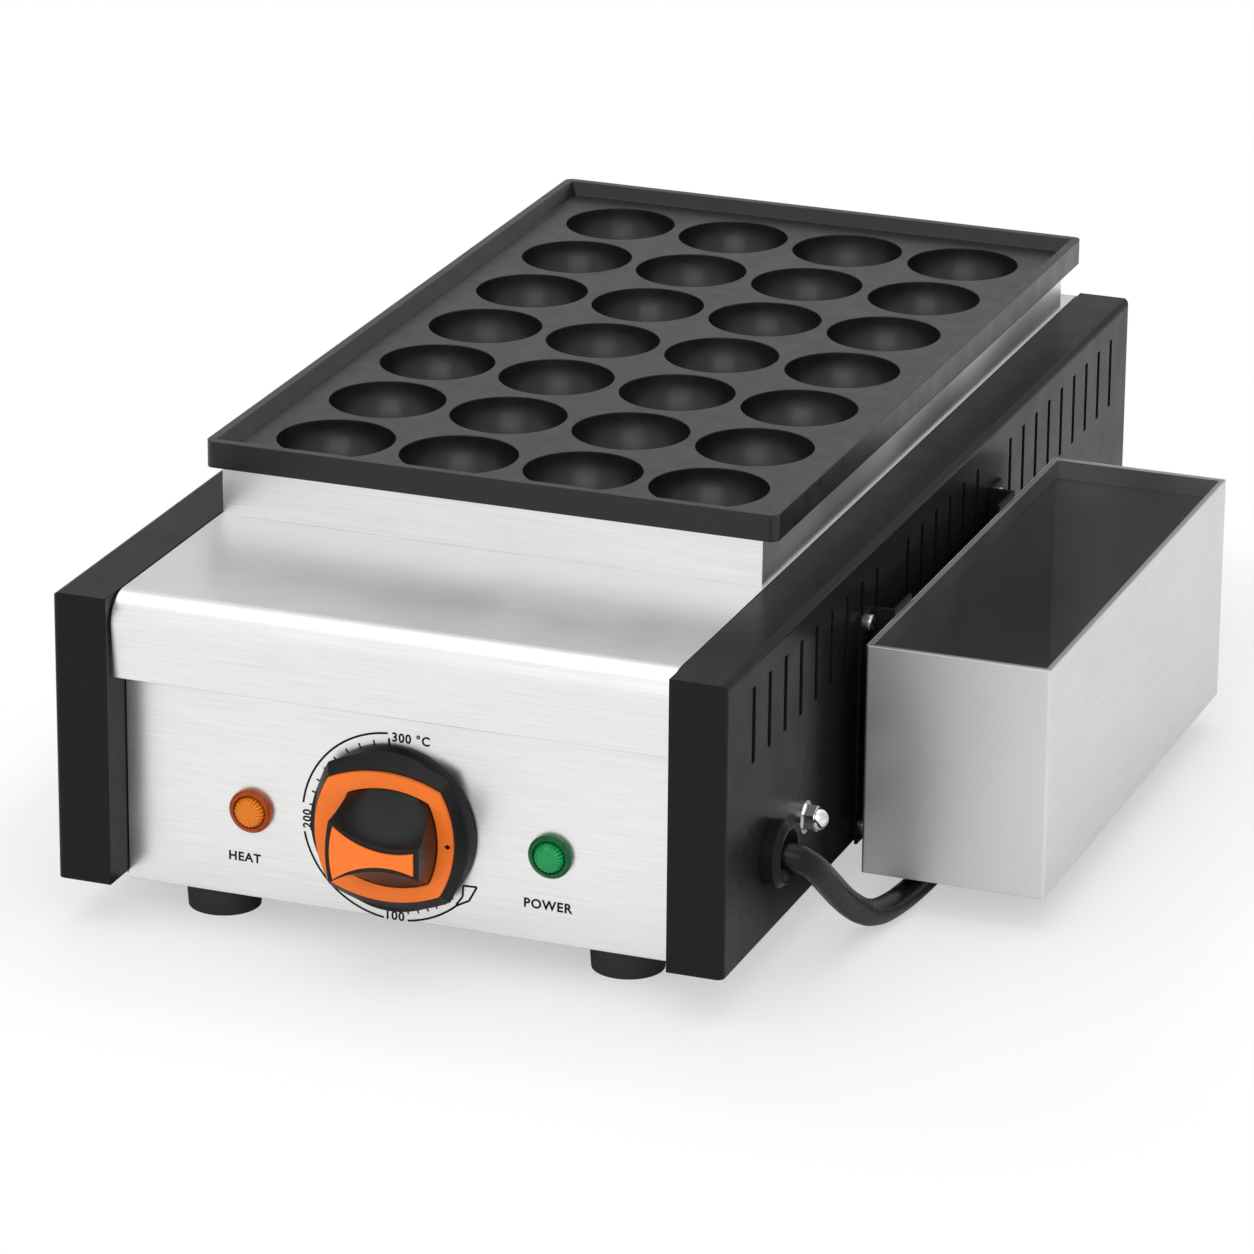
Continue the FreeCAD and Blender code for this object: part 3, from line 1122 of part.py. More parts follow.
# The cord's route, chosen by hand: out of the bush, down to the floor, back under the bin and round
# behind the cabinet to the coil. Each point is beyond the right wall's face, then behind the bush or
# behind the side panels' rear faces, then a height: 1 is the bush's axis and 0 is lying on the floor.
ROUTE_FROM_BUSH = [
    (-0.4, 0.0, 1.0),
    (7.1, 0.1, 0.995),
    (12.7, 3.7, 0.902),
    (14.6, 13.2, 0.668),
    (16.6, 28.7, 0.303),
    (19.4, 44.2, 0.05),
    (22.6, 60.2, 0.003),
    (24.6, 86.2, 0.0),
    (26.1, 136.2, 0.0),
    (24.6, 194.2, 0.0),
    (25.1, 252.2, 0.0),
    (22.6, 308.2, 0.0),
]
ROUTE_BEHIND = [
    (14.6, -31.0, 0.0),
    (-2.4, 5.0, 0.003),
    (-29.4, 22.5, 0.018),
    (-59.4, 22.0, 0.032),
]
TAIL_BEHIND = [
    (-135.4, 79.0, 0.27),
    (-135.9, 111.0, 0.3),
    (-139.4, 141.0, 0.356),
]


def route_points(points, start_y):
    """The points of a route in the cabinet's frame."""
    floor_z = size("cord_radius")
    rise = size("bush_z") - floor_z
    return [Vector(half + x, start_y + y, floor_z + rise * height) for x, y, height in points]


def cord():
    """The mains cord: a tube to the coil, the coil as one solid, its tie, a short tail and the plug."""
    radius = size("cord_radius")
    back = size("body_depth")
    lead = route_points(ROUTE_FROM_BUSH, size("bush_y")) + route_points(ROUTE_BEHIND, back)
    tail = route_points(TAIL_BEHIND, back)
    for label, points in (("cord", lead), ("cord_tail", tail)):
        edges = rounded_path(points)
        tube = sweep(edges, radius)
        length = sum(edge.Length for edge in edges)
        print("%s length %.1f, volume over section times length %.5f" % (
            label, length, tube.Volume / (math.pi * radius ** 2 * length)))
        shaped(label, tube)
    across = 4 * radius
    middle = Vector(half - size("coil_inset"), back + size("coil_behind"), 0)
    inner, outer = size("coil_radius") - across / 2, size("coil_radius") + across / 2
    low = size("coil_low")
    base = middle + Vector(0, 0, low)
    coil = Part.makeCylinder(outer, across, base).cut(Part.makeCylinder(inner, across, base))
    coil = coil.makeFillet(radius * 0.9, [edge for edge in coil.Edges if isinstance(edge.Curve, Part.Circle)])
    shaped("cord_coil", coil)
    gap, wall, width = size("tie_gap"), size("tie_wall"), size("tie_width")
    loop = Part.makeBox(width, across + 2 * (gap + wall), across + 2 * (gap + wall),
                        Vector(middle.x - width / 2, middle.y + inner - gap - wall, low - gap - wall))
    loop = loop.cut(Part.makeBox(width, across + 2 * gap, across + 2 * gap,
                                 Vector(middle.x - width / 2, middle.y + inner - gap, low - gap)))
    shaped("cord_tie", loop)
    end = tail[-1]
    along = end - tail[-2]
    along.normalize()
    turn = Rotation(Z_AXIS, along)
    body = place(new_body("plug_body"), "%.3f" % end.x, "%.3f" % end.y, "%.3f" % end.z, turn)
    revolve(body, [("0", "0"), ("cord_radius + plug_neck", "0"), ("cord_radius + plug_flare", "plug_length * 0.3"),
                   ("plug_radius * 0.72", "plug_length * 0.38"), ("plug_radius", "plug_length * 0.75"),
                   ("plug_radius", "plug_length"), ("0", "plug_length")])
    face = end + along * size("plug_length")
    side = along.cross(Z_AXIS)
    side.normalize()
    pins = [rod(face + side * (way * size("pin_spacing") / 2), along, size("pin_radius"), size("pin_length"))
            for way in (-1, 1)]
    shaped("plug_pins", Part.makeCompound(pins))


wall_holes(side_panel("right_side_panel", 1))
side_panel("left_side_panel", -1)
front_panel()
rear_panel()
base_plate()
deck()
riser()
cooking_plate()
heat_shield()
heating_element("left_heating_element", -1)
heating_element("right_heating_element", 1)
fasteners()
for label, point in zip(("front_left_foot", "front_right_foot", "rear_left_foot", "rear_right_foot"), FOOT_POINTS):
    foot(label, point)
thermostat()
knob_shaft()
knob()
lamp("heat_lamp", -1)
lamp("power_lamp", 1)
lamp_clips()
wall_fittings()
side_bin()
bracket("front_bracket", "front_web", -1)
bracket("rear_bracket", "rear_web", 1)
bulb_and_capillary()
terminal_block()
cord()
doc.recompute()

pieces = [piece for piece in doc.Objects if piece.TypeId in ("PartDesign::Body", "Part::Feature")]
for piece in doc.Objects:
    if "Invalid" in piece.State or "Error" in piece.State:
        raise RuntimeError("%s is %s" % (piece.Name, piece.State))
for piece in pieces:
    if piece.Shape.isNull() or not piece.Shape.isValid():
        raise RuntimeError("%s has no valid shape" % piece.Label)

os.makedirs("parts", exist_ok=True)
for piece in pieces:
    piece.Shape.exportStep("parts/%s.step" % piece.Label)
print("%d pieces" % len(pieces))
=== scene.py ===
import bmesh
import bpy
import math
from mathutils import Matrix, Vector


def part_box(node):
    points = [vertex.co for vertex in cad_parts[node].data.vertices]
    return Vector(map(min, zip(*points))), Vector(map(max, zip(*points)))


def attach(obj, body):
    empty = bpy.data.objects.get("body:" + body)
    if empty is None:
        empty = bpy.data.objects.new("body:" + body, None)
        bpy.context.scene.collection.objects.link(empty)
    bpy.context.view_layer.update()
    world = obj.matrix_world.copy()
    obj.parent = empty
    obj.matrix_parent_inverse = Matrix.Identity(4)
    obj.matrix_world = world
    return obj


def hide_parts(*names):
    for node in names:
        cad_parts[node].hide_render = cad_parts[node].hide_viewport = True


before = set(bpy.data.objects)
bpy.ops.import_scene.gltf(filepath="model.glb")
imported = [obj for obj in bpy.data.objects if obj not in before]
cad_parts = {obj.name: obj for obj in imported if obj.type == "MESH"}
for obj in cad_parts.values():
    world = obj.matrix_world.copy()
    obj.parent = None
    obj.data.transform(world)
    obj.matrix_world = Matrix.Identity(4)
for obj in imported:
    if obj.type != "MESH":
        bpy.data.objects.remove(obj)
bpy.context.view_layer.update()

# The camera stands in front of the cabinet and to its right, a little above, with a long lens.
# Places are written in millimetres as the cabinet is measured: X from the cabinet's middle, Y back from
# the side panels' front faces and Z up from the floor.
MM = 0.001
left_panel_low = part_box("left_side_panel")[0]
right_panel_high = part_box("right_side_panel")[1]
cabinet_middle = (left_panel_low.x + right_panel_high.x) / 2
cabinet_front = left_panel_low.y


def spot(x, y, z):
    """A point of the cabinet in metres."""
    return Vector((cabinet_middle + x * MM, cabinet_front + y * MM, z * MM))


camera_place = spot(768.31, -1825.16, 849.45)
turned_left, looking_down, rolled = 20.60, 20.27, 0.517
camera = bpy.data.objects.new("camera", bpy.data.cameras.new("camera"))
camera.data.sensor_width = 36
camera.data.lens = 192.07
camera.data.clip_end = 50
aim = (Matrix.Rotation(math.radians(turned_left), 4, "Z")
       @ Matrix.Rotation(math.radians(90 - looking_down), 4, "X")
       @ Matrix.Rotation(math.radians(rolled), 4, "Z"))
camera.matrix_world = Matrix.Translation(camera_place) @ aim
bpy.context.scene.collection.objects.link(camera)
bpy.context.scene.camera = camera
bpy.context.scene.view_settings.view_transform = "Standard"


# The mains lead is a round rubber cable 9 mm thick. It comes out of a bush in the right wall, drops to
# the floor, runs back under the bin and round behind the cabinet, where the rest is wound in a flat
# coil of three and a quarter turns held by a strap.
def new_material(name, colour, roughness, metallic=0.0):
    """A material, given back with its nodes and its shader."""
    material = bpy.data.materials.new(name)
    material.use_nodes = True
    nodes = material.node_tree.nodes
    shader = nodes["Principled BSDF"]
    shader.inputs["Base Color"].default_value = (*colour, 1)
    shader.inputs["Roughness"].default_value = roughness
    shader.inputs["Metallic"].default_value = metallic
    return material, material.node_tree, shader


def grain(tree, size_mm, stretch=(1, 1, 1), detail=3.0):
    """A noise of a size in millimetres, drawn out along an axis where stretch is above 1."""
    place = tree.nodes.new("ShaderNodeTexCoord")
    scale = tree.nodes.new("ShaderNodeMapping")
    noise = tree.nodes.new("ShaderNodeTexNoise")
    scale.inputs["Scale"].default_value = [1 / (size_mm * MM * way) for way in stretch]
    noise.inputs["Scale"].default_value = 1.0
    noise.inputs["Detail"].default_value = detail
    tree.links.new(place.outputs["Object"], scale.inputs["Vector"])
    tree.links.new(scale.outputs["Vector"], noise.inputs["Vector"])
    return noise.outputs["Fac"]


noise_low, noise_high = 0.3, 0.7


def ramp(tree, value, low, high):
    """A value of a noise's usual range spread over low to high."""
    spread = tree.nodes.new("ShaderNodeMapRange")
    spread.inputs["From Min"].default_value = noise_low
    spread.inputs["From Max"].default_value = noise_high
    spread.inputs["To Min"].default_value = low
    spread.inputs["To Max"].default_value = high
    tree.links.new(value, spread.inputs["Value"])
    return spread.outputs["Result"]


def rough_between(tree, shader, value, low, high):
    """Let the roughness follow a value."""
    tree.links.new(ramp(tree, value, low, high), shader.inputs["Roughness"])


def colour_between(tree, shader, value, low, high):
    """Shade the base colour between two colours."""
    mix = tree.nodes.new("ShaderNodeMix")
    mix.data_type = "RGBA"
    mix.inputs["A"].default_value = (*low, 1)
    mix.inputs["B"].default_value = (*high, 1)
    tree.links.new(ramp(tree, value, 0, 1), mix.inputs["Factor"])
    tree.links.new(mix.outputs["Result"], shader.inputs["Base Color"])


def bump(tree, shader, value, height_mm, strength=1.0, edge_mm=0.0):
    """Raise the surface by a value, and round its sharp edges where edge_mm is given."""
    raised = tree.nodes.new("ShaderNodeBump")
    raised.inputs["Strength"].default_value = strength
    raised.inputs["Distance"].default_value = height_mm * MM
    tree.links.new(value, raised.inputs["Height"])
    if edge_mm:
        edge = tree.nodes.new("ShaderNodeBevel")
        edge.samples = 4
        edge.inputs["Radius"].default_value = edge_mm * MM
        tree.links.new(edge.outputs["Normal"], raised.inputs["Normal"])
    tree.links.new(raised.outputs["Normal"], shader.inputs["Normal"])


def add_piece(name, data, body="cabinet"):
    """A piece that stays with a body."""
    piece = bpy.data.objects.new(name, data)
    bpy.context.scene.collection.objects.link(piece)
    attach(piece, body)
    return piece


def wear(material, *nodes):
    """Give a material to nodes that keep their own shape."""
    for node in nodes:
        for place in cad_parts[node].material_slots:
            place.material = material


# The lead's points are in the order it runs: out of the bush, back along the wall, round the coil, and on
# to the plug.
cable_radius = 4.5
lead_out = [(115.0, 43.8, 42.4), (122.5, 43.9, 42.2), (128.1, 47.5, 38.7), (130.0, 57.0, 29.8),
            (132.0, 72.5, 16.0), (134.8, 88.0, 6.4), (138.0, 104.0, 4.6)]
lead_back = [(140.0, 130.0, 4.5), (141.5, 180.0, 4.5), (140.0, 238.0, 4.5), (140.5, 296.0, 4.5),
             (138.0, 352.0, 4.5), (130.0, 402.0, 4.5), (113.0, 438.0, 4.6), (86.0, 454.0, 5.2),
             (56.0, 452.0, 5.7)]
lead_end = [(-24.0, 520.0, 14.7), (-22.5, 544.0, 15.8), (-24.0, 574.0, 18.0)]
coil_x, coil_y, coil_z = 30.0, 505.0, 10.2
coil_turns, coil_points = 3.25, 20
coil_radius = 50.0
lay_radius = cable_radius * math.sqrt(2)
coil = []
for step in range(1, int(coil_turns * coil_points)):
    turns = step / coil_points
    whole, part = divmod(turns, 1)
    # Each turn lies a quarter further round the bundle than the last, and changes over in its second half.
    round_the_lay = math.radians(-45 - 90 * (whole + max(0.0, part - 0.5) * 2))
    reach = (coil_radius + lay_radius * math.cos(round_the_lay)) / math.cos(math.pi / coil_points)
    height = max(coil_z + lay_radius * math.sin(round_the_lay), cable_radius)
    heading = math.radians(-90 - 360 * turns)
    coil.append((coil_x + reach * math.cos(heading), coil_y + reach * math.sin(heading), height))
# The thickness sits in the points and not in the line, because the box of a line counts its points' radius.
lead_line = bpy.data.curves.new("mains_lead", "CURVE")
lead_line.dimensions = "3D"
lead_line.bevel_depth = 1.0
lead_line.bevel_resolution = 6
lead_line.resolution_u = 10
lead_line.use_fill_caps = True
line = lead_line.splines.new("NURBS")
route = lead_out + lead_back + coil + lead_end
line.points.add(len(route) - 1)
for point, place in zip(line.points, route):
    point.co = (*spot(*place), 1)
    point.radius = cable_radius * MM
line.order_u = 3
line.use_endpoint_u = True
mains_lead = add_piece("mains_lead", lead_line)
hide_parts("cord", "cord_tail", "cord_coil")
rubber, rubber_tree, rubber_shader = new_material("cable_rubber", (0.006, 0.006, 0.0065), 0.3)
rubber_grain = grain(rubber_tree, 0.5)
rough_between(rubber_tree, rubber_shader, rubber_grain, 0.22, 0.32)
rubber_shader.inputs["Specular IOR Level"].default_value = 0.22
bump(rubber_tree, rubber_shader, rubber_grain, 0.03)
lead_line.materials.append(rubber)

strap, strap_tree, strap_shader = new_material("strap_nylon", (0.02, 0.02, 0.022), 0.6)
bump(strap_tree, strap_shader, grain(strap_tree, 0.6, (1, 4, 4)), 0.08)
wear(strap, "cord_tie")
plug_black, plug_tree, plug_shader = new_material("plug_moulding", (0.016, 0.016, 0.017), 0.4)
plug_grain = grain(plug_tree, 0.35)
rough_between(plug_tree, plug_shader, plug_grain, 0.36, 0.48)
bump(plug_tree, plug_shader, plug_grain, 0.03, edge_mm=0.5)
wear(plug_black, "plug_body")


# The floor is one wide white sheet with no visible end. It glows a little near the cabinet and its bin,
# where it keeps their shadow, and fades to plain white away from them. The room gives light from all
# round, most from the front, and two large softboxes hang above and in front.
def finished_mesh(name, work, material):
    """A mesh of what was worked on, in one material."""
    mesh = bpy.data.meshes.new(name)
    work.to_mesh(mesh)
    work.free()
    mesh.materials.append(material)
    return mesh


def maths(tree, operation, *values, kind="ShaderNodeMath", result="Value"):
    """The result of a maths node, whose values are joined or set in order."""
    node = tree.nodes.new(kind)
    node.operation = operation
    for socket, value in zip(node.inputs, values):
        if isinstance(value, bpy.types.NodeSocket):
            tree.links.new(value, socket)
        else:
            socket.default_value = value
    return node.outputs[result]


def vector_maths(tree, operation, *values):
    """The same for three values at once."""
    result = "Value" if operation == "LENGTH" else "Vector"
    return maths(tree, operation, *values, kind="ShaderNodeVectorMath", result=result)


def apart(tree, vector):
    """A vector's X, Y and Z."""
    sides = tree.nodes.new("ShaderNodeSeparateXYZ")
    tree.links.new(vector, sides.inputs["Vector"])
    return sides.outputs


def from_middle(tree, low, high):
    """How far a place is from a box's middle, either way along each axis."""
    place = tree.nodes.new("ShaderNodeTexCoord")
    centred = vector_maths(tree, "SUBTRACT", place.outputs["Object"], (low + high) / 2)
    return vector_maths(tree, "ABSOLUTE", centred)


floor_size, white_from, near_lift = 12.0, 0.1, 0.5
standing_low = Vector((left_panel_low.x, cabinet_front, 0))
standing_high = Vector((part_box("side_bin")[1].x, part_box("rear_panel")[1].y, 0))
floor_white, floor_tree, floor_shader = new_material("floor_white", (0.9, 0.9, 0.9), 0.55)
floor_work = bmesh.new()
bmesh.ops.create_grid(floor_work, x_segments=1, y_segments=1, size=floor_size / 2)
floor = bpy.data.objects.new("floor", finished_mesh("floor", floor_work, floor_white))
bpy.context.scene.collection.objects.link(floor)
floor_outside = vector_maths(floor_tree, "SUBTRACT", from_middle(floor_tree, standing_low, standing_high),
                             (standing_high - standing_low) / 2)
# What lies inside the box counts as no distance at all.
floor_distance = vector_maths(floor_tree, "LENGTH", vector_maths(floor_tree, "MAXIMUM", floor_outside))
floor_fade = floor_tree.nodes.new("ShaderNodeMapRange")
floor_fade.interpolation_type = "SMOOTHSTEP"
floor_fade.inputs["From Max"].default_value = white_from
floor_seen = floor_tree.nodes.new("ShaderNodeLightPath")
camera_sees = floor_seen.outputs["Is Camera Ray"]
metal_sees = floor_seen.outputs["Is Glossy Ray"]
either_sees = maths(floor_tree, "MAXIMUM", camera_sees, metal_sees)
white_far = maths(floor_tree, "MULTIPLY", floor_fade.outputs["Result"], either_sees)
white_near = maths(floor_tree, "MULTIPLY", camera_sees, near_lift)
floor_glow = floor_tree.nodes.new("ShaderNodeEmission")
floor_mix = floor_tree.nodes.new("ShaderNodeMixShader")
floor_join = floor_tree.links.new
floor_join(floor_distance, floor_fade.inputs["Value"])
floor_join(maths(floor_tree, "MAXIMUM", white_near, white_far), floor_mix.inputs["Fac"])
floor_join(floor_shader.outputs["BSDF"], floor_mix.inputs[1])
floor_join(floor_glow.outputs["Emission"], floor_mix.inputs[2])
floor_join(floor_mix.outputs["Shader"], floor_tree.nodes["Material Output"].inputs["Surface"])

light_front, light_back = 1.0, 0.6
room = bpy.data.worlds.new("room")
room.use_nodes = True
room_tree = room.node_tree
room_glow = room_tree.nodes["Background"]
room_glow.inputs["Color"].default_value = (1, 1, 1, 1)
room_way = room_tree.nodes.new("ShaderNodeTexCoord")
room_seen = room_tree.nodes.new("ShaderNodeLightPath")
room_level = room_tree.nodes.new("ShaderNodeMapRange")
room_level.inputs["From Min"].default_value = -1
room_level.inputs["To Min"].default_value = light_front
room_level.inputs["To Max"].default_value = light_back
room_tree.links.new(apart(room_tree, room_way.outputs["Generated"])["Y"], room_level.inputs["Value"])
room_strength = maths(room_tree, "MAXIMUM", room_level.outputs["Result"], room_seen.outputs["Is Camera Ray"])
room_tree.links.new(room_strength, room_glow.inputs["Strength"])
bpy.context.scene.world = room


def softbox(name, place, target, width, height, watts):
    """A flat lamp that faces a target."""
    lamp = bpy.data.lights.new(name, "AREA")
    lamp.shape = "RECTANGLE"
    lamp.size, lamp.size_y, lamp.energy = width, height, watts
    holder = bpy.data.objects.new(name, lamp)
    holder.location = place
    holder.rotation_euler = (Vector(target) - Vector(place)).to_track_quat("-Z", "Y").to_euler()
    bpy.context.scene.collection.objects.link(holder)


softbox("softbox_above", place=(-0.3, 0.2, 2.2), target=(0, 0, 0), width=2.4, height=2.4, watts=15)
softbox("softbox_front", place=(0.6, -2.2, 1.6), target=(0, 0, 0.05), width=2.0, height=1.6, watts=14)


# The two side panels are bent sheet steel, powder coated black with a satin gloss. The same coat is on
# the two brackets that carry the bin.
paint, paint_tree, paint_shader = new_material("black_powder_coat", (0.012, 0.012, 0.0125), 0.3)
paint_peel = grain(paint_tree, 0.7, detail=2.0)
rough_between(paint_tree, paint_shader, grain(paint_tree, 14), 0.25, 0.34)
bump(paint_tree, paint_shader, paint_peel, 0.006, edge_mm=0.5)
paint_shader.inputs["Specular IOR Level"].default_value = 0.08
wear(paint, "left_side_panel", "right_side_panel", "front_bracket", "rear_bracket")


# Front panel, deck, riser and rear panel are brushed stainless sheet, bent and left bare. The grain runs
# from side to side, and the mill finish is a little uneven.
def brushed_steel(name, along, colour=(0.88, 0.88, 0.875), rough=(0.3, 0.4)):
    """Stainless sheet whose grain runs along one axis."""
    material, tree, shader = new_material(name, colour, rough[0], metallic=1.0)
    line_width, line_stretch, line_shade, cloud_size = 0.4, 60, 0.9, 45
    stretch = [line_stretch if axis == along else 1 for axis in "XYZ"]
    lines = grain(tree, line_width, stretch, detail=4.0)
    clouds = grain(tree, cloud_size)
    rough_between(tree, shader, clouds, *rough)
    colour_between(tree, shader, lines, [part * line_shade for part in colour], colour)
    bump(tree, shader, lines, 0.001, strength=0.5, edge_mm=0.4)
    return material


panel_steel = brushed_steel("panel_stainless", "X")
wear(panel_steel, "front_panel", "deck", "riser", "rear_panel")


# The bin is an open tray of thinner stainless sheet with its rim folded in, and its grain runs from
# front to back. Its inside is painted darker than its outside, as painted shade. Spot welds hold it to
# its brackets and show as dull rounds near the rim.
bin_steel = brushed_steel("bin_stainless", "Y", (0.74, 0.74, 0.735), (0.36, 0.48))
wear(bin_steel, "side_bin")
bin_low, bin_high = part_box("side_bin")
# Whatever lies deeper in the bin's box than the outer skin, from the sides, is its inside.
skin = Vector((0.4, 0.4, 0.4)) * MM
# The inside takes this darker colour in place of the steel's: painted shade in the tray's hollow.
painted_shade_colour = (0.36, 0.36, 0.36, 1)
bin_tree = bin_steel.node_tree
bin_base = bin_tree.nodes["Principled BSDF"].inputs["Base Color"]
bin_depth = apart(bin_tree, vector_maths(bin_tree, "SUBTRACT", (bin_high - bin_low) / 2 - skin,
                                         from_middle(bin_tree, bin_low, bin_high)))
bin_nearest = maths(bin_tree, "MINIMUM", bin_depth["X"], bin_depth["Y"])
bin_shade = bin_tree.nodes.new("ShaderNodeMix")
bin_shade.data_type = "RGBA"
bin_shade.inputs["B"].default_value = painted_shade_colour
bin_tree.links.new(maths(bin_tree, "GREATER_THAN", bin_nearest, 0.0), bin_shade.inputs["Factor"])
bin_tree.links.new(bin_base.links[0].from_socket, bin_shade.inputs["A"])
bin_tree.links.new(bin_shade.outputs["Result"], bin_base)
weld_radius, weld_slope, weld_rise = 1.5, 0.6, 0.12
# The welds are placed by how far back and how high they are.
weld_places = [(148.2, 87.7), (228.4, 88.3), (247.8, 86.5)]
weld_steps = 20
hem_width = 2.0
facing_right = Matrix.Rotation(math.radians(90), 4, "Y")
weld_work = bmesh.new()
for y, z in weld_places:
    centre = Vector((bin_low.x + hem_width * MM, *spot(0, y, z).yz))
    rim = bmesh.ops.create_circle(weld_work, cap_ends=True, radius=weld_radius * MM, segments=weld_steps,
                                  matrix=Matrix.Translation(centre) @ facing_right)["verts"]
    bmesh.ops.inset_region(weld_work, faces=rim[0].link_faces[:], thickness=weld_slope * MM,
                           depth=weld_rise * MM)
weld_metal, weld_tree, weld_shader = new_material("weld_blush", (0.4, 0.38, 0.36), 0.42, metallic=1.0)
bump(weld_tree, weld_shader, grain(weld_tree, 0.5), 0.05)
add_piece("spot_welds", finished_mesh("spot_welds", weld_work, weld_metal))


# The cooking plate is a casting with a dark non-stick coat. Flat faces are satin, and the sprayed coat
# has a fine pebble that shows on the rim.
coat, coat_tree, coat_shader = new_material("non_stick_coat", (0.005, 0.005, 0.0055), 0.32)
coat_pebble = grain(coat_tree, 0.45, detail=2.0)
rough_between(coat_tree, coat_shader, grain(coat_tree, 9), 0.26, 0.36)
bump(coat_tree, coat_shader, coat_pebble, 0.03, strength=0.8, edge_mm=0.6)
coat_shader.inputs["Specular IOR Level"].default_value = 0.45
wear(coat, "cooking_plate")


# The knob is a black moulding with an orange ring pressed on its face and an orange inset in the grip.
# A small diamond printed on the ring points along the grip.
knob_black, knob_tree, knob_shader = new_material("knob_plastic", (0.005, 0.005, 0.006), 0.26)
knob_grain = grain(knob_tree, 0.3)
rough_between(knob_tree, knob_shader, knob_grain, 0.3, 0.4)
knob_shader.inputs["Specular IOR Level"].default_value = 0.28
bump(knob_tree, knob_shader, knob_grain, 0.012, edge_mm=0.5)
wear(knob_black, "knob_base")
knob_orange, orange_tree, orange_shader = new_material("orange_plastic", (0.93, 0.19, 0.02), 0.42)
orange_grain = grain(orange_tree, 0.35)
rough_between(orange_tree, orange_shader, orange_grain, 0.38, 0.48)
bump(orange_tree, orange_shader, orange_grain, 0.01, edge_mm=0.3)
orange_shader.inputs["Specular IOR Level"].default_value = 0.3
wear(knob_orange, "knob_ring", "knob_inset")
print_ink, ink_tree, ink_shader = new_material("print_ink", (0.006, 0.006, 0.007), 0.5)
rough_between(ink_tree, ink_shader, grain(ink_tree, 0.4), 0.42, 0.55)
ink_shader.inputs["Specular IOR Level"].default_value = 0.15
ink_lift = 0.05
axis_x, axis_z = -2.05, 44.3
ring_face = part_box("knob_ring")[0].y


def set_facing_front(work, x, face, z, turn=0.0):
    """Turn work that faces up to the front, and set it at x and z on a face. Its place is given back."""
    place = Vector((spot(x, 0, 0).x, face, z * MM))
    to_front = Matrix.Rotation(math.radians(90), 4, "X") @ Matrix.Rotation(math.radians(turn), 4, "Z")
    bmesh.ops.transform(work, verts=work.verts, matrix=Matrix.Translation(place) @ to_front)
    return place


pointer_out, pointer_half, pointer_flatness = 22.2, 1.2, 0.75
pointer_work = bmesh.new()
bmesh.ops.create_circle(pointer_work, cap_ends=True, radius=pointer_half * MM, segments=4)
bmesh.ops.scale(pointer_work, vec=(1, pointer_flatness, 1), verts=pointer_work.verts)
set_facing_front(pointer_work, axis_x + pointer_out, ring_face - ink_lift * MM, axis_z)
add_piece("knob_pointer", finished_mesh("knob_pointer", pointer_work, print_ink), "knob")


# The grip is moulded in one with the knob and fills the ring's opening. From the opening its flanks
# sweep forward in a hollow curve to a narrow waisted front, where the inset is pressed in.
# Each outline is four arcs from corner to corner, each through its middle, as seen from the front and
# measured from the knob's axis. A higher sweep makes the flanks more hollow.
opening_shift = 1.7
opening_corners = [(13.81, 13.65), (-13.81, 13.65), (-13.81, -13.65), (13.81, -13.65)]
opening_middles = [(0, 16.65), (-16.85, 0), (0, -16.65), (16.85, 0)]
front_corners = [(19.5, 5.5), (-11.5, 10.7), (-11.5, -10.7), (19.5, -5.5)]
front_middles = [(8.0, 4.1), (-12.7, 0), (8.0, -4.1), (19.6, 0)]
grip_reach, grip_seat, grip_layers, side_steps = 17.7, 1.3, 10, 14
sweep, crease, merge_within = 1.45, 35, 0.001


def arc_centre(start, middle, end):
    """The centre of the circle through three flat points."""
    (ax, ay), (bx, by), (cx, cy) = start, middle, end
    a, b, c = ax * ax + ay * ay, bx * bx + by * by, cx * cx + cy * cy
    twice = 2 * (ax * (by - cy) + bx * (cy - ay) + cx * (ay - by))
    return Vector(((a * (by - cy) + b * (cy - ay) + c * (ay - by)) / twice,
                   (a * (cx - bx) + b * (ax - cx) + c * (bx - ax)) / twice))


def grip_outline(work, forward, width):
    """The grip's outline so far forward of the ring: the front's shape at width 0, the opening's at 1."""
    def between(front, opening):
        return Vector(front).lerp(Vector(opening) + Vector((opening_shift, 0)), width)

    corners = [between(*pair) for pair in zip(front_corners, opening_corners)]
    middles = [between(*pair) for pair in zip(front_middles, opening_middles)]
    known = set(work.edges)
    for k in range(4):
        start, end = corners[k], corners[(k + 1) % 4]
        centre = arc_centre(start, middles[k], end)
        from_start, from_end = start - centre, end - centre
        turn = math.atan2(from_start.x * from_end.y - from_start.y * from_end.x, from_start.dot(from_end))
        vert = work.verts.new((*(start * MM), forward * MM))
        bmesh.ops.spin(work, geom=[vert], cent=(*(centre * MM), forward * MM), axis=(0, 0, 1), angle=turn,
                       steps=side_steps)
    bmesh.ops.remove_doubles(work, verts=work.verts, dist=merge_within * MM)
    return [edge for edge in work.edges if edge not in known]


grip_work = bmesh.new()
last_line = grip_outline(grip_work, -grip_seat, 1.0)
for layer in range(grip_layers + 1):
    way = layer / grip_layers
    line = grip_outline(grip_work, grip_reach * way, (1 - way) ** sweep)
    bmesh.ops.bridge_loops(grip_work, edges=last_line + line)
    last_line = line
bmesh.ops.contextual_create(grip_work, geom=last_line)
bmesh.ops.recalc_face_normals(grip_work, faces=grip_work.faces)
for face in grip_work.faces:
    face.smooth = len(face.verts) == 4
for edge in grip_work.edges:
    edge.smooth = edge.calc_face_angle(0) < math.radians(crease)
set_facing_front(grip_work, axis_x, ring_face, axis_z)
grip_mesh = finished_mesh("moulded_grip", grip_work, knob_black)
moulded_grip = add_piece("moulded_grip", grip_mesh, "knob")
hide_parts("knob_grip")


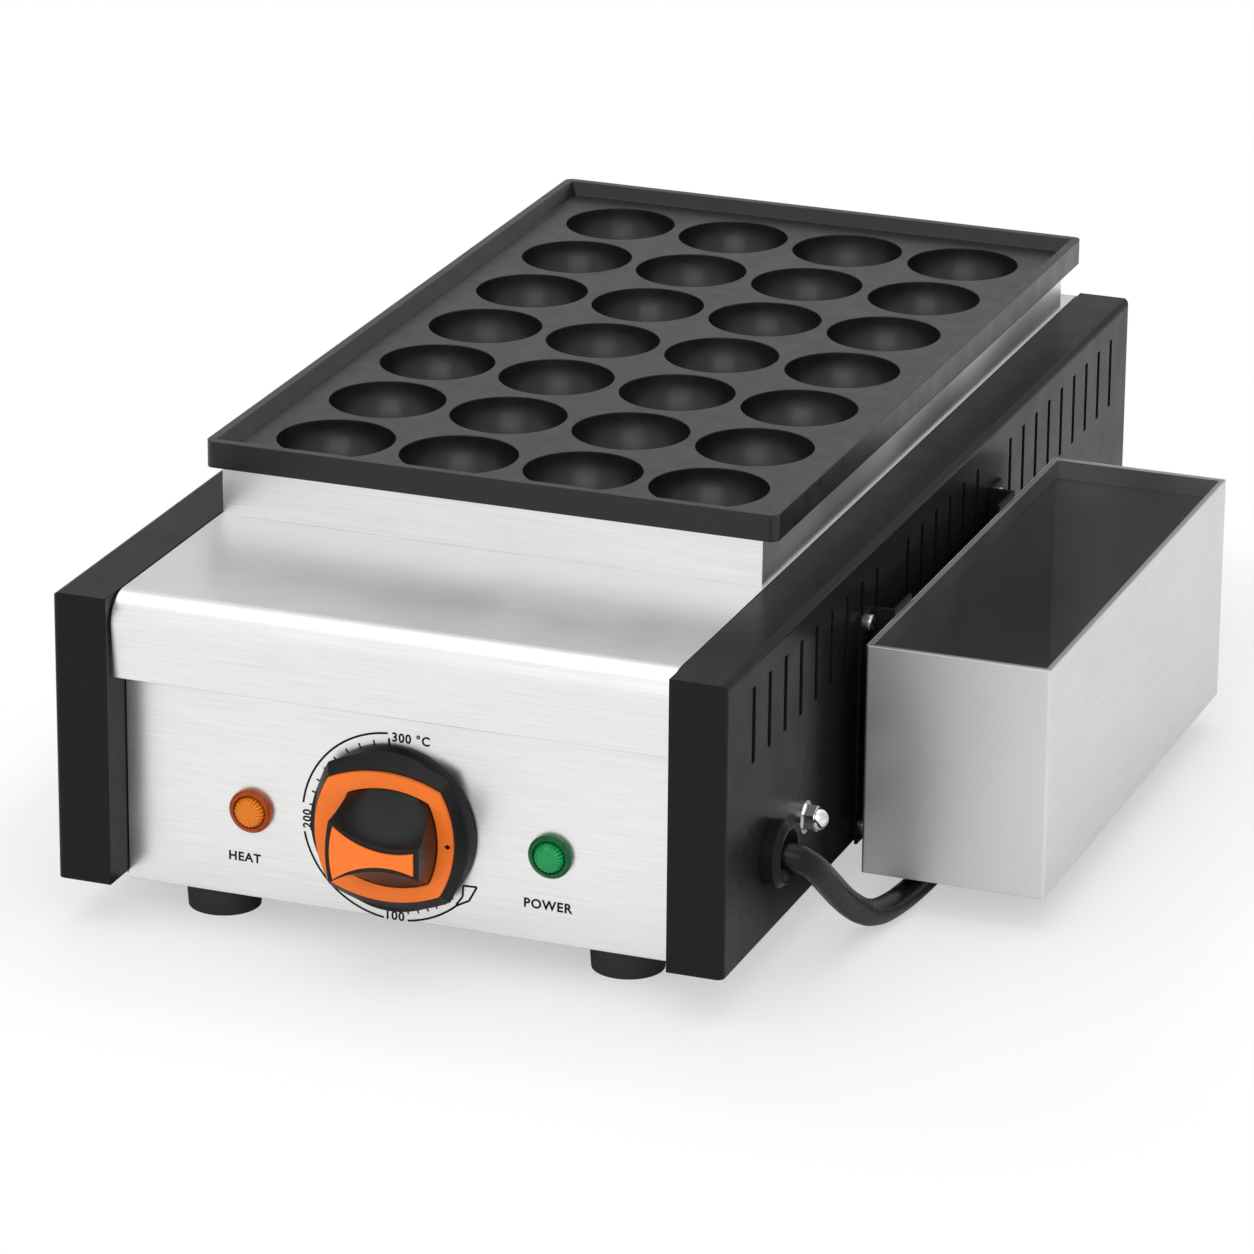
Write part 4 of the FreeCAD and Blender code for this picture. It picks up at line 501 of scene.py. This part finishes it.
# The dial is printed on the front panel in black: a thin arc broken by plain numbers, short marks inside
# it and a wedge where the heat starts. The lamps have plain words under them.
panel_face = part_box("front_panel")[0].y
arc_step = 4


def print_piece(name, work, x, z, turn=0.0):
    """Put flat print on the panel."""
    set_facing_front(work, x, panel_face - ink_lift * MM, z, turn)
    return add_piece(name, finished_mesh(name, work, print_ink))


def around(reach, angle):
    """A flat place so far from the middle, at an angle counted from the right, upwards."""
    return Vector((reach * math.cos(math.radians(angle)), reach * math.sin(math.radians(angle))))


def arc_line(work, reach, width, start, end):
    """A flat line round the middle from one angle to another."""
    sides = (reach - width / 2, reach + width / 2)
    line_start = [work.verts.new((*(around(side, start) * MM), 0)) for side in sides]
    edge = work.edges.new(line_start)
    bmesh.ops.spin(work, geom=line_start + [edge], cent=(0, 0, 0), axis=(0, 0, 1),
                   angle=math.radians(end - start), steps=max(2, int((end - start) / arc_step)))


def straight_line(work, start, end, width):
    """A flat line from one point to another."""
    along = end - start
    grown = bmesh.ops.create_grid(work, x_segments=1, y_segments=1, size=0.5)["verts"]
    bmesh.ops.scale(work, vec=(along.length * MM, width * MM, 1), verts=grown)
    middle = (start + end) / 2 * MM
    turn = Matrix.Rotation(math.atan2(along.y, along.x), 4, "Z")
    bmesh.ops.transform(work, verts=grown, matrix=Matrix.Translation((middle.x, middle.y, 0)) @ turn)


dial_line, mark_line, heavy_line = 0.72, 0.6, 0.78
dial_radius = 32.1
dial_arcs = [(94, 173), (191, 263), (278, 313)]
mark_start, mark_end = 28.1, 29.9
mark_angles = [104, 114.5, 124.5, 135, 145.5, 155, 164, 173, 190, 198, 206, 214, 222, 230, 238, 246, 254,
               279, 286, 293, 299.5, 306, 313]
top_mark_angle, top_mark_start, top_mark_end = 93.5, 26.8, 30.5
wedge_corners = [(32.1, 312), (33.6, 320), (32.9, 330), (29.0, 325), (31.2, 319), (31.8, 312)]
dial = bmesh.new()
for start, end in dial_arcs:
    arc_line(dial, dial_radius, dial_line, start, end)
for angle in mark_angles:
    straight_line(dial, around(mark_start, angle), around(mark_end, angle), mark_line)
straight_line(dial, around(top_mark_start, top_mark_angle), around(top_mark_end, top_mark_angle), heavy_line)
for start, end in zip(wedge_corners, wedge_corners[1:]):
    straight_line(dial, around(*start), around(*end), dial_line)
print_piece("dial_print", dial, axis_x, axis_z)


boldness, spacing = 0.03, 1.12


def printed_words(name, words, height, x, z, turn=0.0, wide=1.0):
    """Plain lettering of a given height, turned, with its middle at x and z."""
    letters = bpy.data.curves.new(name, "FONT")
    letters.body = words
    letters.resolution_u = 3
    letters.offset = boldness
    letters.space_character = spacing
    holder = bpy.data.objects.new(name, letters)
    bpy.context.scene.collection.objects.link(holder)
    bpy.context.view_layer.update()
    flat = bpy.data.meshes.new_from_object(holder)
    bpy.data.objects.remove(holder)
    work = bmesh.new()
    work.from_mesh(flat)
    low = Vector([min(vert.co[k] for vert in work.verts) for k in range(3)])
    high = Vector([max(vert.co[k] for vert in work.verts) for k in range(3)])
    bmesh.ops.translate(work, vec=-(low + high) / 2, verts=work.verts)
    size = height * MM / (high.y - low.y)
    bmesh.ops.scale(work, vec=(wide * size, size, 1), verts=work.verts)
    return print_piece(name, work, x, z, turn)


printed_words("number_top", "300 °C", height=3.5, x=3.7, z=75.4, wide=0.95)
printed_words("number_left", "200", height=3.1, x=axis_x - 30.6, z=42.7, turn=90)
printed_words("number_bottom", "100", height=3.3, x=axis_x + 0.2, z=13.6)
printed_words("heat_label", "HEAT", height=3.2, x=-54.7, z=26.0)
printed_words("power_label", "POWER", height=3.4, x=51.0, z=25.3)


# Each lamp is a push-in body of coloured clear plastic with a fluted diffuser that shows in its face:
# amber for the heat, green for the power.
lamp_from_middle, lamp_height = 52, 42.8
lens_flutes, lens_radius, flute_depth = 24, 5.3, 0.93
# The profile's pairs are a share of the lens's radius and a height over the panel.
lens_profile = [(1.0, 1.5), (0.97, 2.9), (0.84, 3.7), (0.62, 4.2), (0.3, 4.45)]
hollow_painted_shade, body_shade = 0.55, 0.6


def lamp_face(name, node, x, colour, dim_colour, bezel_node):
    """A lamp's fluted diffuser in place of its plain lens, and the coloured moulding round it."""
    work = bmesh.new()
    bmesh.ops.create_circle(work, cap_ends=False, radius=lens_radius * MM, segments=lens_flutes * 2)
    edges = list(work.edges)
    for number, vert in enumerate(work.verts):
        if number % 2:
            vert.co *= flute_depth
    last_share, first_height = lens_profile[0]
    for vert in work.verts:
        vert.co.z = first_height * MM
    for share, height in lens_profile[1:]:
        grown = bmesh.ops.extrude_edge_only(work, edges=edges)["geom"]
        edges = [item for item in grown if isinstance(item, bmesh.types.BMEdge)
                 and all(end in grown for end in item.verts)]
        ring = [item for item in grown if isinstance(item, bmesh.types.BMVert)]
        bmesh.ops.scale(work, vec=(share / last_share, share / last_share, 1), verts=ring)
        for vert in ring:
            vert.co.z = height * MM
        last_share = share
    bmesh.ops.contextual_create(work, geom=edges)
    bmesh.ops.recalc_face_normals(work, faces=work.faces)
    centre = set_facing_front(work, x, panel_face, lamp_height)
    glow, tree, shader = new_material(name + "_clear", colour, 0.2)
    shader.inputs["Coat Weight"].default_value = 0.15
    shader.inputs["Coat Roughness"].default_value = 0.08
    shader.inputs["Subsurface Weight"].default_value = 0.25
    shader.inputs["Subsurface Scale"].default_value = 0.002
    shader.inputs["Specular IOR Level"].default_value = 0.3
    place = tree.nodes.new("ShaderNodeTexCoord")
    sides = apart(tree, vector_maths(tree, "SUBTRACT", place.outputs["Object"], centre))
    angle = maths(tree, "ARCTAN2", sides["Z"], sides["X"])
    wave = maths(tree, "SINE", maths(tree, "MULTIPLY", angle, lens_flutes))
    # The wave is brought to the range that the colours are spread over.
    shade = maths(tree, "MULTIPLY_ADD", wave, (noise_high - noise_low) / 2, (noise_high + noise_low) / 2)
    # The flutes' hollows are painted darker than their ridges: painted shade.
    colour_between(tree, shader, shade, [part * hollow_painted_shade for part in colour], colour)
    piece = add_piece(name, finished_mesh(name, work, glow))
    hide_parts(node)
    body_plastic, body_tree, body_shader = new_material(name + "_body", dim_colour, 0.12)
    body_shader.inputs["Specular IOR Level"].default_value = 0.25
    dark_colour = [part * body_shade for part in dim_colour]
    colour_between(body_tree, body_shader, grain(body_tree, 2.5), dark_colour, dim_colour)
    wear(body_plastic, bezel_node)


amber, dim_amber = (0.95, 0.24, 0.0), (0.42, 0.06, 0.002)
green, dim_green = (0.0, 0.36, 0.09), (0.001, 0.12, 0.032)
lamp_face("heat_diffuser", "heat_lamp_lens", -lamp_from_middle, amber, dim_amber,
          "heat_lamp_bezel")
lamp_face("power_diffuser", "power_lamp_lens", lamp_from_middle, green, dim_green,
          "power_lamp_bezel")


# The cable bush is a black nylon gland with a flared mouth. Beside it a chrome acorn nut and washer hold
# the earth stud, and small zinc plated screws hold the brackets and the base.
bush_nylon, bush_tree, bush_shader = new_material("bush_nylon", (0.007, 0.007, 0.0075), 0.36)
bump(bush_tree, bush_shader, grain(bush_tree, 0.4), 0.01, edge_mm=0.4)
bush_shader.inputs["Specular IOR Level"].default_value = 0.15
wear(bush_nylon, "cable_bush", "bush_locknut")
chrome, chrome_tree, chrome_shader = new_material("bright_chrome", (0.8, 0.8, 0.8), 0.08, metallic=1.0)
rough_between(chrome_tree, chrome_shader, grain(chrome_tree, 1.5), 0.12, 0.2)
wear(chrome, "acorn_nut", "earth_washer", "plug_pins")
zinc, zinc_tree, zinc_shader = new_material("zinc_plate", (0.6, 0.6, 0.59), 0.28, metallic=1.0)
rough_between(zinc_tree, zinc_shader, grain(zinc_tree, 1.2), 0.2, 0.36)
bump(zinc_tree, zinc_shader, grain(zinc_tree, 0.3), 0.01, edge_mm=0.2)
wear(zinc, "bracket_screws", "base_screws", "foot_screws", "foot_nuts", "plate_studs", "plate_nuts",
     "earth_stud", "earth_nut", "thermostat_screws", "lamp_clips", "bulb_clips", "knob_shaft")


# The four feet are turned from black rubber. A screw goes up through each foot and the base plate, and a
# nut holds it inside.
foot_rubber, foot_tree, foot_shader = new_material("foot_rubber", (0.012, 0.012, 0.012), 0.62)
foot_grain = grain(foot_tree, 0.5)
rough_between(foot_tree, foot_shader, foot_grain, 0.55, 0.7)
bump(foot_tree, foot_shader, foot_grain, 0.05, edge_mm=0.6)
wear(foot_rubber, "front_left_foot", "front_right_foot", "rear_left_foot", "rear_right_foot")


# Inside and underneath: a galvanised base plate and heat shield, two sheathed heating elements, the
# thermostat with its copper tube and bulb, and a cream terminal block.
sheet, sheet_tree, sheet_shader = new_material("galvanised_sheet", (0.5, 0.5, 0.49), 0.42, metallic=1.0)
spangle = grain(sheet_tree, 7, detail=1.0)
rough_between(sheet_tree, sheet_shader, spangle, 0.34, 0.52)
colour_between(sheet_tree, sheet_shader, spangle, (0.42, 0.42, 0.42), (0.56, 0.56, 0.55))
wear(sheet, "base_plate", "heat_shield")
sheath, sheath_tree, sheath_shader = new_material("element_sheath", (0.2, 0.18, 0.16), 0.5, metallic=0.9)
colour_between(sheath_tree, sheath_shader, grain(sheath_tree, 6), (0.12, 0.105, 0.1), (0.24, 0.22, 0.2))
wear(sheath, "left_heating_element", "right_heating_element")
copper, copper_tree, copper_shader = new_material("copper_tube", (0.72, 0.33, 0.19), 0.3, metallic=1.0)
rough_between(copper_tree, copper_shader, grain(copper_tree, 3), 0.24, 0.4)
wear(copper, "capillary_tube", "sensing_bulb")
control, control_tree, control_shader = new_material("control_body", (0.35, 0.34, 0.32), 0.45, metallic=0.3)
rough_between(control_tree, control_shader, grain(control_tree, 1.5), 0.38, 0.52)
wear(control, "thermostat")
cream, cream_tree, cream_shader = new_material("block_moulding", (0.6, 0.55, 0.42), 0.5)
bump(cream_tree, cream_shader, grain(cream_tree, 0.5), 0.03, edge_mm=0.4)
wear(cream, "terminal_block")


bpy.context.view_layer.update()
